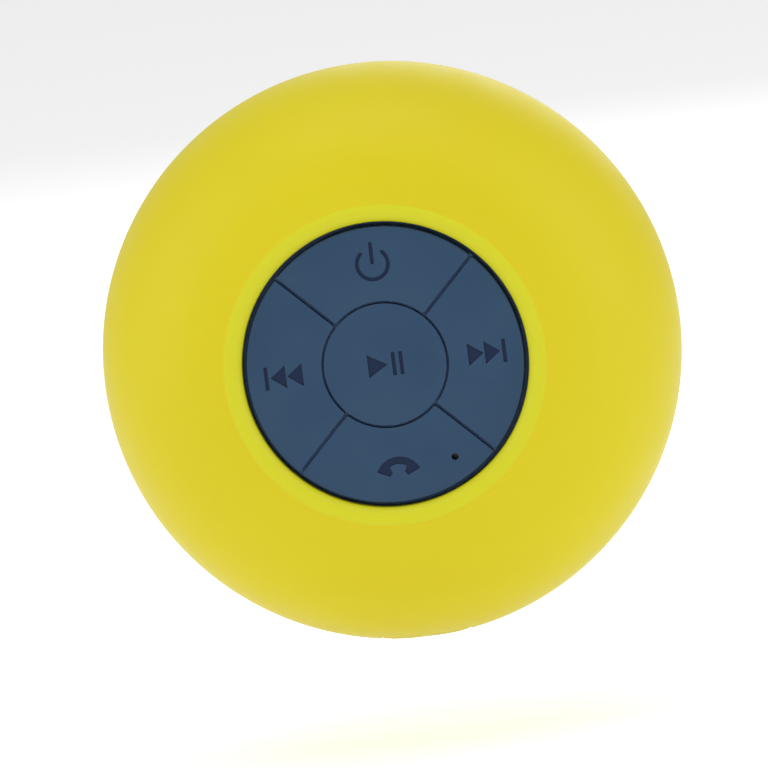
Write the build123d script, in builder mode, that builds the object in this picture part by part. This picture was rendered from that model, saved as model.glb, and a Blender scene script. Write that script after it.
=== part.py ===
from build123d import *
import os
from math import acos, cos, degrees, radians, sin, sqrt

# Round shower speaker held to a wall by a suction cup.
#
# The cup's lip lies on the wall, in the plane Y = 0, with its centre at the origin.
# The front of the speaker faces -Y, +Z is up and +X is to the right seen from the front.
# "Depth" is the distance from the wall, so a point at depth d has Y = -d. Millimetres.

# ---- Body sizes
body_diameter = 86.0          # at the equator, the widest section
overall_depth = 55.0          # wall to the crest of the jacket's ring
equator_depth = 34.0
cover_face_depth = 19.8       # outer face of the rear cover
shoulder_radius = 24.0        # where the rounded front and back become flat
jacket_wall = 2.4
jacket_fit = 0.1              # between the jacket and the hard shells
housing_wall = 2.0
front_plate = 1.5             # flat plate of the front housing round the keypad
split_depth = 29.0            # joint between the two hard shells
jacket_lip_radius = 34.0      # inner edge of the jacket at the back
lip_gap = 0.3

# ---- Keypad sizes
keypad_radius = 20.4
keypad_gap = 0.6             # between the keypad and the jacket's opening
keypad_recess = 1.0           # keypad's face below the ring's crest
key_thickness = 1.5
play_key_radius = 9.0
circle_groove = 0.32          # between the centre key and the others
radial_groove = 0.43          # between neighbouring keys
key_edge_round = 0.3
key_corner_round = 0.35
key_stem_radius = 1.5
key_stem_fit = 0.15
key_spot_radius = 14.0        # switches of the four outer keys
icon_depth = 0.2
icon_circle = 14.9            # icons' distance from the axis
icon_stroke = 0.55
icon_ring_radius = 2.27
icon_height = 3.4
power_arc = 270               # degrees of ring left beside the opening
power_bar_length = 3.3
power_bar_rise = 1.6          # bar's middle above the ring's
arrow_length = 2.3
arrow_starts = (-2.7, -0.25)  # outward from the icon's middle
skip_bar_start = 2.65
play_arrow_start = -2.55
play_arrow_length = 2.9
play_bar_starts = (1.3, 2.4)
handset_radius = 3.0
handset_drop = 2.2            # centre of the handset's bow, below the icon's middle
handset_arc = 110
handset_grip = 0.8
handset_end_width = 1.5
handset_end_height = 1.3
handset_end_round = 0.35
handset_end_tilt = 25
handset_end_reach = 2.3
handset_end_drop = 0.75
ring_face_width = 2.25        # from the jacket's opening out to the crest
ring_slope = 1.6              # crest down to the jacket's opening
ring_width = 0.6              # rounded crest, from its peak out to the dome
ring_rise = 0.2               # crest above the start of the dome
ring_crest_round = 0.8
membrane_sheet = 0.9
membrane_side = 0.85
membrane_flange = 2.7         # clamped rim outside the keypad opening

# ---- Switches, frame and main board
plunger_radius = 1.2
plunger_height = 0.8          # above the switch body
plunger_travel = 0.25
plunger_gap = 0.37            # between a key's stem and its switch at rest
plunger_fit = 0.08
switch_floor = 0.9
switch_size = 4.5
switch_height = 2.2
board_radius = 24.5
board_thickness = 1.6
frame_plate = 1.0
frame_inner_radius = 19.8
frame_outer_radius = 29.0
frame_rib_outer = 24.3
frame_rib_width = 2.6
frame_screw_circle = 26.8
frame_notch_gap = 0.3         # round the case posts
board_screw_circle = 23.0

# ---- Microphone
pinhole_radius = 0.52
pinhole_circle = 16.9
pinhole_angle = -60.0
microphone_radius = 2.0
microphone_height = 1.5
microphone_fit = 0.05
microphone_boot_height = 3.6
microphone_boot_wall = 0.5

# ---- Case screws and posts
post_circle = 28.0
post_radius = 2.6
post_end_depth = 24.1
boss_gap = 0.1
case_screw_radius = 1.0
case_screw_length = 9.0
screw_fit = 0.1
screw_end_room = 0.5          # blind hole beyond a screw's tip
screw_bite = 0.9              # driver screws into the rear cover's wall
case_head_radius = 1.9
case_head_height = 1.2
case_head_sink = 1.4          # head's seat below the rear cover's face
head_fit = 0.3
small_head_radius = 1.5
small_head_height = 0.9
frame_screw_radius = 0.8
frame_screw_length = 4.0
frame_boss_radius = 2.2
board_screw_radius = 0.7
board_screw_length = 3.6
driver_screw_radius = 0.9
driver_boss_radius = 2.3
charge_screw_radius = 0.7
charge_screw_length = 4.0
charge_post_radius = 1.7
charge_post_x = 6.6
charge_post_z = -31.3

# ---- Rear cover
cover_wall = 2.0
grille_slots = 24
grille_inner_radius = 11.0
grille_outer_radius = 17.2
grille_slot_width = 1.3
mesh_thickness = 0.3
mesh_margin = 0.3
cover_edge_round = 0.5
seal_width = 1.0
seal_thickness = 0.6
seal_fit = 0.05

# ---- Driver
driver_radius = 20.0
seat_rib_height = 2.0
seat_rib_width = 2.0
gasket_thickness = 0.6
basket_sheet = 1.0
cone_land = 0.9               # glued rim between the surround and the cone
driver_opening_radius = 16.8
cone_outer_radius = 13.6
coil_radius = 6.8
cone_depth = 4.6
cone_wall = 0.35
dust_cap_rise = 2.3
magnet_radius = 13.5
magnet_thickness = 3.2
top_plate_thickness = 1.8
yoke_thickness = 1.6
basket_depth = 7.6            # flange to the top plate
driver_lug_circle = 22.0
driver_lug_radius = 2.4
surround_land = 1.2
surround_wall = 0.4
surround_rise = 1.5
shelf_inner_radius = 11.9     # basket's shelf under the spider
shelf_height = 1.8
spider_wall = 0.3
spider_waves = 6
former_wall = 0.2
former_start = 0.4            # coil former's end behind the cone's throat
former_length = 6.6
winding_wall = 0.4
winding_length = 3.4
pole_gap = 0.3
plate_gap = 0.25
pole_vent_radius = 1.5
magnet_bore = 8.2
terminal_spot = (-20.9, 6.0)
terminal_size = (3.0, 5.4)
terminal_pitch = 2.6
terminal_board_thickness = 0.8
tab_thickness = 0.4

# ---- Battery
battery_width = 36.0
battery_height = 28.0
battery_thickness = 4.2
battery_pad_thickness = 0.5
battery_corner = 1.5

# ---- Charging port
port_depth = 35.5
well_width = 11.4
well_height = 7.4
well_depth = 6.2              # from the body's bottom up to the socket's mouth
cut_room = 1.0                # how far cuts run past the body
well_wall = 1.2
flap_width = 13.0
flap_height = 9.0
flap_thickness = 1.4
flap_gap = 0.3                # round the flap's edge
flap_seat_gap = 0.15          # under the flap
flap_corner = 1.6
well_corner = 1.2
flap_rim_depth = 1.8
flap_rim_wall = 0.9
socket_width = 7.5
socket_thickness = 2.7
socket_length = 5.6
socket_fit = 0.2
socket_wall = 0.3
tongue_setback = 0.8
tongue_width = 5.0
tongue_thickness = 0.8
charge_board_thickness = 1.0
charge_board_width = 17.2
charge_board_length = 8.0
charge_board_gap = 0.3        # from the well's floor

# ---- Suction cup and its stud
cup_radius = 32.0
cup_lip = 0.8
cup_lip_width = 1.0
cup_cavity_height = 9.5
cup_wall = 2.6
cup_hub_radius = 9.5
cup_hub_depth = 17.2
cup_hub_round = 3.0
stud_foot_radius = 7.0
stud_foot_depth = 12.8
stud_foot_thickness = 1.6
stud_neck_radius = 4.5
stud_flange_radius = 9.0
stud_gap = 0.1
stud_fit = 0.05
stud_radius = 4.0
socket_boss_radius = 6.5
socket_boss_length = 3.0
stud_washer_radius = 6.0
stud_washer_thickness = 0.6
stud_screw_radius = 1.2
stud_screw_length = 5.5
stud_screw_head_radius = 2.1
stud_screw_head_height = 1.0

# ---- Parts on the back of the main board
module_spot = (-6.0, 0.0)
module_size = (12.0, 15.0)
module_height = 1.5
amplifier_spot = (9.0, 3.0)
amplifier_size = (5.0, 4.0)
amplifier_height = 1.0
capacitor_spot = (8.0, 19.2)  # one in each quarter
capacitor_radius = 2.0
capacitor_height = 4.6

# ---- Leads
lead_radius = 0.5
lead_bend = 1.5
battery_lead_reach = 3.2
battery_lead_spacing = 5.0
speaker_lead_rise = 5.0
speaker_lead_bow = 1.4
charge_lead_spacing = 4.0
charge_lead_end_z = -20.8

# ---- Worked out from the sizes above
dome_rise = overall_depth - ring_rise - equator_depth
housing_inset = jacket_wall + jacket_fit
cavity_inset = housing_inset + housing_wall
cover_inner_depth = cover_face_depth + cover_wall
rear_rise = equator_depth - cover_inner_depth + cavity_inset
plate_inner_depth = equator_depth + dome_rise - cavity_inset
plate_face_depth = plate_inner_depth + front_plate
opening_radius = keypad_radius + keypad_gap
keypad_face_depth = overall_depth - keypad_recess
well_floor_z = -body_diameter / 2 + well_depth
ring_crest_radius = opening_radius + ring_face_width
key_back_depth = keypad_face_depth - key_thickness
membrane_under_depth = key_back_depth - membrane_sheet
frame_rib_depth = plate_inner_depth - membrane_sheet
plunger_top_depth = frame_rib_depth + 0.4
stem_end_depth = plunger_top_depth + plunger_gap
switch_top_depth = plunger_top_depth - plunger_height
board_face_depth = switch_top_depth - switch_height
board_back_depth = board_face_depth - board_thickness
frame_face_depth = board_face_depth + frame_plate
basket_face_depth = cover_inner_depth + seat_rib_height + gasket_thickness
basket_back_depth = basket_face_depth + basket_depth
magnet_face_depth = basket_back_depth + top_plate_thickness
yoke_face_depth = magnet_face_depth + magnet_thickness
driver_back_depth = yoke_face_depth + yoke_thickness
battery_face_depth = driver_back_depth + battery_pad_thickness
coil_join_depth = basket_face_depth + cone_depth
charge_board_front = port_depth - socket_thickness / 2

key_angles = {"power": 90.0, "next": 0.0, "previous": 180.0, "phone": 270.0}
key_spots = {"play": (0.0, 0.0)}
for key_name, key_angle in key_angles.items():
    spot_x = key_spot_radius * cos(radians(key_angle))
    spot_z = key_spot_radius * sin(radians(key_angle))
    key_spots[key_name] = (spot_x, spot_z)
pinhole_spot = (
    pinhole_circle * cos(radians(pinhole_angle)),
    pinhole_circle * sin(radians(pinhole_angle)),
)


# ---- Shared shapes
def at_depth(depth):
    """Plane square to the axis at a depth, seen from the front."""
    return Plane.XZ.offset(depth)


def turned(*corners):
    """Closed outline for turning about the axis, its corners as (radius, depth)."""
    with BuildSketch(Plane.XY) as outline:
        with BuildLine():
            Polyline(*[(radius, -depth) for radius, depth in corners], close=True)
        make_face()
    return outline.sketch


def ring_face(inner_radius, outer_radius, depth):
    """Flat ring, or disc when its inner radius is 0, ready to extrude to the front."""
    with BuildSketch(at_depth(depth)) as face:
        Circle(outer_radius)
        if inner_radius > 0:
            Circle(inner_radius, mode=Mode.SUBTRACT)
    return face.sketch


def disc_faces(spots, radius, depth):
    """One disc at each (x, z) spot, ready to extrude to the front."""
    with BuildSketch(at_depth(depth)) as face:
        with Locations(*spots):
            Circle(radius)
    return face.sketch


def circle_spots(circle_radius, count, first_angle):
    """Evenly spaced (x, z) spots on a circle about the axis."""
    angles = [first_angle + 360.0 * step / count for step in range(count)]
    return [(circle_radius * cos(radians(a)), circle_radius * sin(radians(a))) for a in angles]


def section_reach(inset):
    """Half-width of the body's rounded section beyond its shoulder."""
    return body_diameter / 2 - inset - shoulder_radius


def section_angle(inset, radius):
    """Angle on the section's ellipse at which it has a radius."""
    return degrees(acos((radius - shoulder_radius) / section_reach(inset)))


def front_radius(inset, depth):
    """Radius of the front of the section at a depth."""
    share = (depth - equator_depth) / (dome_rise - inset)
    return shoulder_radius + section_reach(inset) * sqrt(1 - share**2)


def rear_radius(inset, depth):
    """Radius of the back of the section at a depth."""
    share = (equator_depth - depth) / (rear_rise - inset)
    return shoulder_radius + section_reach(inset) * sqrt(1 - share**2)


def front_arc(inset, radius):
    """Front quarter of the section, from a radius near the ring out to the equator."""
    return EllipticalCenterArc(
        (shoulder_radius, -equator_depth),
        section_reach(inset),
        dome_rise - inset,
        start_angle=-section_angle(inset, radius),
        arc_size=section_angle(inset, radius),
    )


def rear_arc(inset, radius):
    """Rear quarter of the section, from the equator back to a radius."""
    return EllipticalCenterArc(
        (shoulder_radius, -equator_depth),
        section_reach(inset),
        rear_rise - inset,
        start_angle=0,
        arc_size=section_angle(inset, radius),
    )


def lead(points, bend_radius):
    """Insulated wire along a route of straight runs joined by tangent arcs."""
    with BuildPart() as wire:
        with BuildLine() as route:
            FilletPolyline(*points, radius=[bend_radius] * (len(points) - 2))
        with BuildSketch(Plane(origin=route.line @ 0, z_dir=route.line % 0)):
            Circle(lead_radius)
        sweep(path=route.line)
    return wire


def save(piece, name):
    """Name a finished piece and write it to its own file."""
    piece.part.label = name
    export_step(piece.part, f"parts/{name}.step")


os.makedirs("parts", exist_ok=True)

# ---- Charging port's recess: a seat for the flap, and a well for the plug below it
def skin_band(thickness):
    """Outer skin of the body, all the way round, to a thickness."""
    with BuildPart() as band:
        with BuildSketch(Plane.XY):
            with BuildLine():
                skin_back = rear_arc(0, jacket_lip_radius)
                skin_front = front_arc(0, jacket_lip_radius)
                under_back = rear_arc(thickness, jacket_lip_radius)
                under_front = front_arc(thickness, jacket_lip_radius)
                Line(skin_front @ 0, under_front @ 0)
                Line(skin_back @ 1, under_back @ 1)
            make_face()
        revolve(axis=Axis.Y)
    return band.part


def port_prism(width, height, corner, low_z, high_z):
    """Upright block with rounded corners through the bottom of the body at the port."""
    with BuildPart() as prism:
        with BuildSketch(Plane.XY.offset(low_z)):
            with Locations((0, -port_depth)):
                RectangleRounded(width, height, corner)
        extrude(amount=high_z - low_z)
    return prism.part


below_body_z = -body_diameter / 2 - cut_room
with BuildPart() as flap_recess:
    add(skin_band(flap_thickness + flap_seat_gap))
    add(
        port_prism(flap_width + 2 * flap_gap, flap_height + 2 * flap_gap, flap_corner, below_body_z, 0),
        mode=Mode.INTERSECT,
    )
plug_well = port_prism(well_width, well_height, well_corner, below_body_z, well_floor_z)

# ---- Silicone jacket
with BuildPart() as silicone_jacket:
    with BuildSketch(Plane.XY):
        with BuildLine():
            outer_front = front_arc(0, ring_crest_radius + ring_width)
            outer_back = rear_arc(0, jacket_lip_radius)
            inner_back = rear_arc(jacket_wall, jacket_lip_radius)
            inner_front = front_arc(jacket_wall, front_radius(jacket_wall, plate_face_depth + jacket_fit))
            Line(outer_back @ 1, inner_back @ 1)
            Polyline(
                inner_front @ 0,
                (opening_radius, -(plate_face_depth + jacket_fit)),
                (opening_radius, -(overall_depth - ring_slope)),
            )
            EllipticalCenterArc(
                (ring_crest_radius, -(overall_depth - ring_slope)),
                ring_face_width,
                ring_slope,
                start_angle=180,
                arc_size=90,
            )
            Line((ring_crest_radius, -overall_depth), outer_front @ 0)
        make_face()
        fillet(vertices().sort_by(Axis.Y)[0], radius=ring_crest_round)
    revolve(axis=Axis.Y)
    add(flap_recess.part, mode=Mode.SUBTRACT)
    add(plug_well, mode=Mode.SUBTRACT)
save(silicone_jacket, "silicone_jacket")

# ---- Port flap: a patch of the body's skin, with a rim that plugs the well
with BuildPart() as flap_patch:
    add(skin_band(flap_thickness))
    add(port_prism(flap_width, flap_height, flap_corner, below_body_z, 0), mode=Mode.INTERSECT)

rim_width = well_width - 2 * flap_gap
rim_height = well_height - 2 * flap_gap
rim_low_z = -(body_diameter - flap_thickness) / 2
rim_high_z = -body_diameter / 2 + flap_thickness + flap_rim_depth
rim_bore = port_prism(
    rim_width - 2 * flap_rim_wall,
    rim_height - 2 * flap_rim_wall,
    well_corner / 2,
    rim_low_z,
    rim_high_z,
)
with BuildPart() as port_flap:
    add(port_prism(rim_width, rim_height, well_corner, rim_low_z, rim_high_z))
    add(rim_bore, mode=Mode.SUBTRACT)
    add(flap_patch.part)
save(port_flap, "port_flap")

# ---- Front housing
frame_boss_spots = circle_spots(frame_screw_circle, 4, 0.0)
post_spots = circle_spots(post_circle, 4, 45.0)
charge_post_spots = [(-charge_post_x, charge_post_z), (charge_post_x, charge_post_z)]
well_block = port_prism(
    well_width + 2 * well_wall,
    well_height + 2 * well_wall,
    well_corner + well_wall,
    below_body_z,
    well_floor_z + well_wall,
)

with BuildPart() as front_void:
    with BuildSketch(Plane.XY):
        with BuildLine():
            void_front = front_arc(cavity_inset, shoulder_radius)
            void_back = rear_arc(cavity_inset, rear_radius(cavity_inset, split_depth))
            Polyline(
                void_back @ 1,
                (0, -split_depth),
                (0, -plate_inner_depth),
                void_front @ 0,
            )
        make_face()
    revolve(axis=Axis.Y)
    extrude(
        disc_faces(post_spots, post_radius, split_depth),
        amount=overall_depth - split_depth,
        mode=Mode.SUBTRACT,
    )
    extrude(
        disc_faces(frame_boss_spots, frame_boss_radius, frame_face_depth),
        amount=overall_depth - frame_face_depth,
        mode=Mode.SUBTRACT,
    )
    extrude(
        disc_faces(charge_post_spots, charge_post_radius, charge_board_front),
        amount=overall_depth - charge_board_front,
        mode=Mode.SUBTRACT,
    )
    add(well_block, mode=Mode.SUBTRACT)

with BuildPart() as front_housing:
    with BuildSketch(Plane.XY):
        with BuildLine():
            shell_front = front_arc(housing_inset, front_radius(housing_inset, plate_face_depth))
            shell_back = rear_arc(housing_inset, rear_radius(housing_inset, split_depth))
            Polyline(
                shell_back @ 1,
                (0, -split_depth),
                (0, -plate_face_depth),
                shell_front @ 0,
            )
        make_face()
    revolve(axis=Axis.Y)
    add(front_void.part, mode=Mode.SUBTRACT)
    extrude(
        ring_face(0, opening_radius, plate_inner_depth - front_plate),
        amount=3 * front_plate,
        mode=Mode.SUBTRACT,
    )
    extrude(disc_faces(post_spots, post_radius, post_end_depth), amount=split_depth - post_end_depth)
    extrude(
        disc_faces(post_spots, case_screw_radius + screw_fit, post_end_depth),
        amount=case_screw_length + screw_end_room,
        mode=Mode.SUBTRACT,
    )
    extrude(
        disc_faces(frame_boss_spots, frame_screw_radius + screw_fit, frame_face_depth),
        amount=frame_screw_length - frame_plate + screw_end_room,
        mode=Mode.SUBTRACT,
    )
    extrude(
        disc_faces(charge_post_spots, charge_screw_radius + screw_fit, charge_board_front),
        amount=charge_screw_length + screw_end_room,
        mode=Mode.SUBTRACT,
    )
    add(plug_well, mode=Mode.SUBTRACT)
    with BuildSketch(Plane.XY.offset(well_floor_z - well_wall)):
        with Locations((0, -port_depth)):
            Rectangle(socket_width + 2 * socket_fit, socket_thickness + 2 * socket_fit)
    extrude(amount=3 * well_wall, mode=Mode.SUBTRACT)
save(front_housing, "front_housing")

# ---- Rear cover
driver_screw_spots = circle_spots(driver_lug_circle, 4, 0.0)
seat_rib_depth = cover_inner_depth + seat_rib_height
boss_end_depth = post_end_depth - boss_gap
seal_middle_radius = (
    rear_radius(housing_inset, split_depth) + rear_radius(cavity_inset, split_depth)
) / 2

with BuildPart() as rear_cover:
    with BuildSketch(Plane.XY):
        with BuildLine():
            cover_arc = EllipticalCenterArc(
                (shoulder_radius, -equator_depth),
                section_reach(housing_inset),
                rear_rise - housing_inset,
                start_angle=section_angle(housing_inset, rear_radius(housing_inset, split_depth)),
                arc_size=section_angle(housing_inset, jacket_lip_radius - lip_gap)
                - section_angle(housing_inset, rear_radius(housing_inset, split_depth)),
            )
            Polyline(
                cover_arc @ 1,
                (jacket_lip_radius - lip_gap, -cover_face_depth),
                (0, -cover_face_depth),
                (0, -split_depth),
                cover_arc @ 0,
            )
        make_face()
        fillet(vertices().sort_by(Axis.Y)[-1], radius=cover_edge_round)
    revolve(axis=Axis.Y)
    with BuildSketch(Plane.XY):
        with BuildLine():
            hollow_arc = EllipticalCenterArc(
                (shoulder_radius, -equator_depth),
                section_reach(cavity_inset),
                rear_rise - cavity_inset,
                start_angle=section_angle(cavity_inset, rear_radius(cavity_inset, split_depth)),
                arc_size=90 - section_angle(cavity_inset, rear_radius(cavity_inset, split_depth)),
            )
            Polyline(
                hollow_arc @ 1,
                (0, -cover_inner_depth),
                (0, -split_depth),
                hollow_arc @ 0,
            )
        make_face()
    revolve(axis=Axis.Y, mode=Mode.SUBTRACT)
    boss_root_depth = cover_inner_depth - cover_wall / 4
    extrude(
        disc_faces(post_spots, post_radius, boss_root_depth),
        amount=boss_end_depth - boss_root_depth,
    )
    extrude(
        ring_face(driver_radius - seat_rib_width, driver_radius, boss_root_depth),
        amount=seat_rib_depth - boss_root_depth,
    )
    extrude(
        disc_faces(driver_screw_spots, driver_boss_radius, boss_root_depth),
        amount=basket_face_depth - boss_root_depth,
    )
    extrude(
        ring_face(0, socket_boss_radius, boss_root_depth),
        amount=cover_face_depth + socket_boss_length - boss_root_depth,
    )
    extrude(
        ring_face(0, stud_radius, cover_face_depth - cover_wall),
        amount=3 * cover_wall,
        mode=Mode.SUBTRACT,
    )
    extrude(
        disc_faces(post_spots, case_screw_radius + screw_fit, cover_face_depth - cover_wall),
        amount=3 * cover_wall + boss_end_depth,
        mode=Mode.SUBTRACT,
    )
    extrude(
        disc_faces(post_spots, case_head_radius + head_fit, cover_face_depth - cover_wall),
        amount=cover_wall + case_head_sink,
        mode=Mode.SUBTRACT,
    )
    extrude(
        disc_faces(driver_screw_spots, driver_screw_radius + screw_fit, cover_inner_depth - screw_bite),
        amount=basket_face_depth,
        mode=Mode.SUBTRACT,
    )
    extrude(
        ring_face(seal_middle_radius - seal_width / 2, seal_middle_radius + seal_width / 2, split_depth),
        amount=-seal_thickness,
        mode=Mode.SUBTRACT,
    )
    with BuildSketch(at_depth(cover_face_depth - cover_wall)):
        with PolarLocations((grille_inner_radius + grille_outer_radius) / 2, grille_slots):
            SlotOverall(grille_outer_radius - grille_inner_radius, grille_slot_width)
    extrude(amount=3 * cover_wall, mode=Mode.SUBTRACT)
save(rear_cover, "rear_cover")

with BuildPart() as housing_seal:
    seal_inner = seal_middle_radius - seal_width / 2 + seal_fit
    seal_outer = seal_middle_radius + seal_width / 2 - seal_fit
    extrude(ring_face(seal_inner, seal_outer, split_depth - seal_thickness), amount=seal_thickness)
save(housing_seal, "housing_seal")

with BuildPart() as acoustic_mesh:
    extrude(
        ring_face(
            socket_boss_radius + mesh_margin,
            driver_radius - seat_rib_width - mesh_margin,
            cover_inner_depth,
        ),
        amount=mesh_thickness,
    )
save(acoustic_mesh, "acoustic_mesh")


# ---- Screws
def screws(spots, head_depth, head_height, head_radius, shank_radius, length, toward_front):
    """Pan-head cross-recess screws whose heads bear at a depth."""
    way = 1 if toward_front else -1
    with BuildPart() as group:
        extrude(disc_faces(spots, head_radius, head_depth), amount=-way * head_height)
        chamfer(
            edges().filter_by(GeomType.CIRCLE).group_by(Axis.Y)[-1 if toward_front else 0],
            length=head_height / 4,
        )
        extrude(disc_faces(spots, shank_radius, head_depth), amount=way * length)
        with BuildSketch(at_depth(head_depth - way * head_height)):
            with Locations(*spots):
                Rectangle(head_radius * 1.1, head_radius * 0.28)
                Rectangle(head_radius * 0.28, head_radius * 1.1)
        extrude(amount=way * head_height / 2, mode=Mode.SUBTRACT)
    return group


housing_screws = screws(
    post_spots,
    cover_face_depth + case_head_sink,
    case_head_height,
    case_head_radius,
    case_screw_radius,
    case_screw_length,
    toward_front=True,
)
save(housing_screws, "housing_screws")

frame_screws = screws(
    frame_boss_spots,
    board_face_depth,
    small_head_height,
    small_head_radius,
    frame_screw_radius,
    frame_screw_length,
    toward_front=True,
)
save(frame_screws, "frame_screws")

# ---- Inner frame: clamps the membrane's rim and carries the main board
board_screw_spots = circle_spots(board_screw_circle, 3, 30.0)
with BuildPart() as inner_frame:
    extrude(ring_face(frame_inner_radius, frame_outer_radius, board_face_depth), amount=frame_plate)
    extrude(
        ring_face(frame_rib_outer - frame_rib_width, frame_rib_outer, board_face_depth),
        amount=frame_rib_depth - board_face_depth,
    )
    extrude(
        disc_faces(post_spots, post_radius + frame_notch_gap, board_face_depth - frame_plate),
        amount=3 * frame_plate,
        mode=Mode.SUBTRACT,
    )
    extrude(
        disc_faces(frame_boss_spots, frame_screw_radius + screw_fit, board_face_depth - frame_plate),
        amount=3 * frame_plate,
        mode=Mode.SUBTRACT,
    )
    extrude(
        disc_faces(board_screw_spots, board_screw_radius + screw_fit, board_face_depth),
        amount=board_screw_length - board_thickness + screw_end_room / 2,
        mode=Mode.SUBTRACT,
    )
save(inner_frame, "inner_frame")

# ---- Keypad membrane: a silicone tray whose flat top joins the keys
with BuildPart() as keypad_membrane:
    extrude(ring_face(0, keypad_radius, frame_rib_depth), amount=key_back_depth - frame_rib_depth)
    extrude(
        ring_face(0, keypad_radius + membrane_flange, frame_rib_depth),
        amount=membrane_sheet,
    )
    extrude(
        ring_face(0, keypad_radius - membrane_side, frame_rib_depth),
        amount=membrane_under_depth - frame_rib_depth,
        mode=Mode.SUBTRACT,
    )
    extrude(
        disc_faces(list(key_spots.values()), key_stem_radius + key_stem_fit, frame_rib_depth),
        amount=key_back_depth - frame_rib_depth,
        mode=Mode.SUBTRACT,
    )
    extrude(
        disc_faces([pinhole_spot], pinhole_radius + key_stem_fit, frame_rib_depth),
        amount=key_back_depth - frame_rib_depth,
        mode=Mode.SUBTRACT,
    )
save(keypad_membrane, "keypad_membrane")


# ---- Key icons, drawn as seen from the front about their own centre
def power_icon(centre_x, centre_z, depth):
    """Ring open at the top, with a bar through the opening."""
    with BuildLine() as ring_line:
        CenterArc((centre_x, centre_z), icon_ring_radius, 270 - power_arc / 2, power_arc)
    with BuildSketch(at_depth(depth)) as icon:
        SlotArc(ring_line.edge(), icon_stroke)
        with Locations((centre_x, centre_z + power_bar_rise)):
            SlotOverall(power_bar_length, icon_stroke, rotation=90)
    return icon.sketch


def skip_icon(centre_x, centre_z, depth, way):
    """Bar and two solid triangles that point one way along X."""
    half = icon_height / 2
    with BuildSketch(at_depth(depth)) as icon:
        with Locations((centre_x + way * skip_bar_start, centre_z)):
            Rectangle(icon_stroke, icon_height)
        for start in arrow_starts:
            with BuildLine():
                Polyline(
                    (centre_x + way * start, centre_z - half),
                    (centre_x + way * start, centre_z + half),
                    (centre_x + way * (start + arrow_length), centre_z),
                    close=True,
                )
            make_face()
    return icon.sketch


def play_icon(centre_x, centre_z, depth):
    """Solid triangle with two bars beside it."""
    half = icon_height / 2
    with BuildSketch(at_depth(depth)) as icon:
        with BuildLine():
            Polyline(
                (centre_x + play_arrow_start, centre_z - half),
                (centre_x + play_arrow_start, centre_z + half),
                (centre_x + play_arrow_start + play_arrow_length, centre_z),
                close=True,
            )
        make_face()
        with Locations(*[(centre_x + start, centre_z) for start in play_bar_starts]):
            Rectangle(icon_stroke, icon_height)
    return icon.sketch


def phone_icon(centre_x, centre_z, depth):
    """Telephone handset lying level, its two ends turned down."""
    with BuildLine() as handle:
        CenterArc((centre_x, centre_z - handset_drop), handset_radius, 90 - handset_arc / 2, handset_arc)
    with BuildSketch(at_depth(depth)) as icon:
        SlotArc(handle.edge(), handset_grip)
        for side in (-1, 1):
            with Locations((centre_x + side * handset_end_reach, centre_z - handset_end_drop)):
                RectangleRounded(
                    handset_end_width,
                    handset_end_height,
                    handset_end_round,
                    rotation=-side * handset_end_tilt,
                )
    return icon.sketch


icon_back_depth = keypad_face_depth - icon_depth
icons = {
    "play": play_icon(0, 0, icon_back_depth),
    "power": power_icon(0, icon_circle, icon_back_depth),
    "next": skip_icon(icon_circle, 0, icon_back_depth, 1),
    "previous": skip_icon(-icon_circle, 0, icon_back_depth, -1),
    "phone": phone_icon(0, -icon_circle, icon_back_depth),
}


# ---- Keys: a flat cap on the membrane, with a stem through it to the switch
def key_outline(name, depth):
    """Outline of a key's cap: a disc in the middle, or a quarter of the ring round it."""
    with BuildSketch(at_depth(depth)) as outline:
        if name == "play":
            Circle(play_key_radius)
        else:
            middle = radians(key_angles[name])
            apex = radial_groove / sqrt(2)
            reach = 2 * keypad_radius
            Circle(keypad_radius)
            Circle(play_key_radius + circle_groove, mode=Mode.SUBTRACT)
            with BuildLine():
                Polyline(
                    (apex * cos(middle), apex * sin(middle)),
                    (
                        apex * cos(middle) + reach * cos(middle - radians(45)),
                        apex * sin(middle) + reach * sin(middle - radians(45)),
                    ),
                    (
                        apex * cos(middle) + reach * cos(middle + radians(45)),
                        apex * sin(middle) + reach * sin(middle + radians(45)),
                    ),
                    close=True,
                )
            make_face(mode=Mode.INTERSECT)
            fillet(outline.vertices(), radius=key_corner_round)
    return outline.sketch


for key_name, spot in key_spots.items():
    with BuildPart() as key:
        extrude(key_outline(key_name, key_back_depth), amount=key_thickness)
        fillet(key.faces().sort_by(Axis.Y)[0].edges(), radius=key_edge_round)
        extrude(icons[key_name], amount=2 * icon_depth, mode=Mode.SUBTRACT)
        extrude(disc_faces([spot], key_stem_radius, stem_end_depth), amount=key_back_depth - stem_end_depth)
        if key_name == "phone":
            extrude(
                disc_faces([pinhole_spot], pinhole_radius, key_back_depth),
                amount=key_thickness,
                mode=Mode.SUBTRACT,
            )
    save(key, f"key_{key_name}")

# ---- Tactile switches
plunger_bore = plunger_radius + plunger_fit
with BuildPart() as switch_bodies:
    with BuildSketch(at_depth(board_face_depth)):
        with Locations(*key_spots.values()):
            Rectangle(switch_size, switch_size)
    extrude(amount=switch_height)
    extrude(
        disc_faces(list(key_spots.values()), plunger_bore, board_face_depth + switch_floor),
        amount=switch_height,
        mode=Mode.SUBTRACT,
    )
save(switch_bodies, "switch_bodies")

plunger_foot_depth = board_face_depth + switch_floor + plunger_travel + plunger_fit
for key_name, spot in key_spots.items():
    with BuildPart() as plunger:
        extrude(
            disc_faces([spot], plunger_radius, plunger_foot_depth),
            amount=plunger_top_depth - plunger_foot_depth,
        )
        chamfer(plunger.faces().sort_by(Axis.Y)[0].edges(), length=plunger_radius / 8)
    save(plunger, f"plunger_{key_name}")

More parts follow.
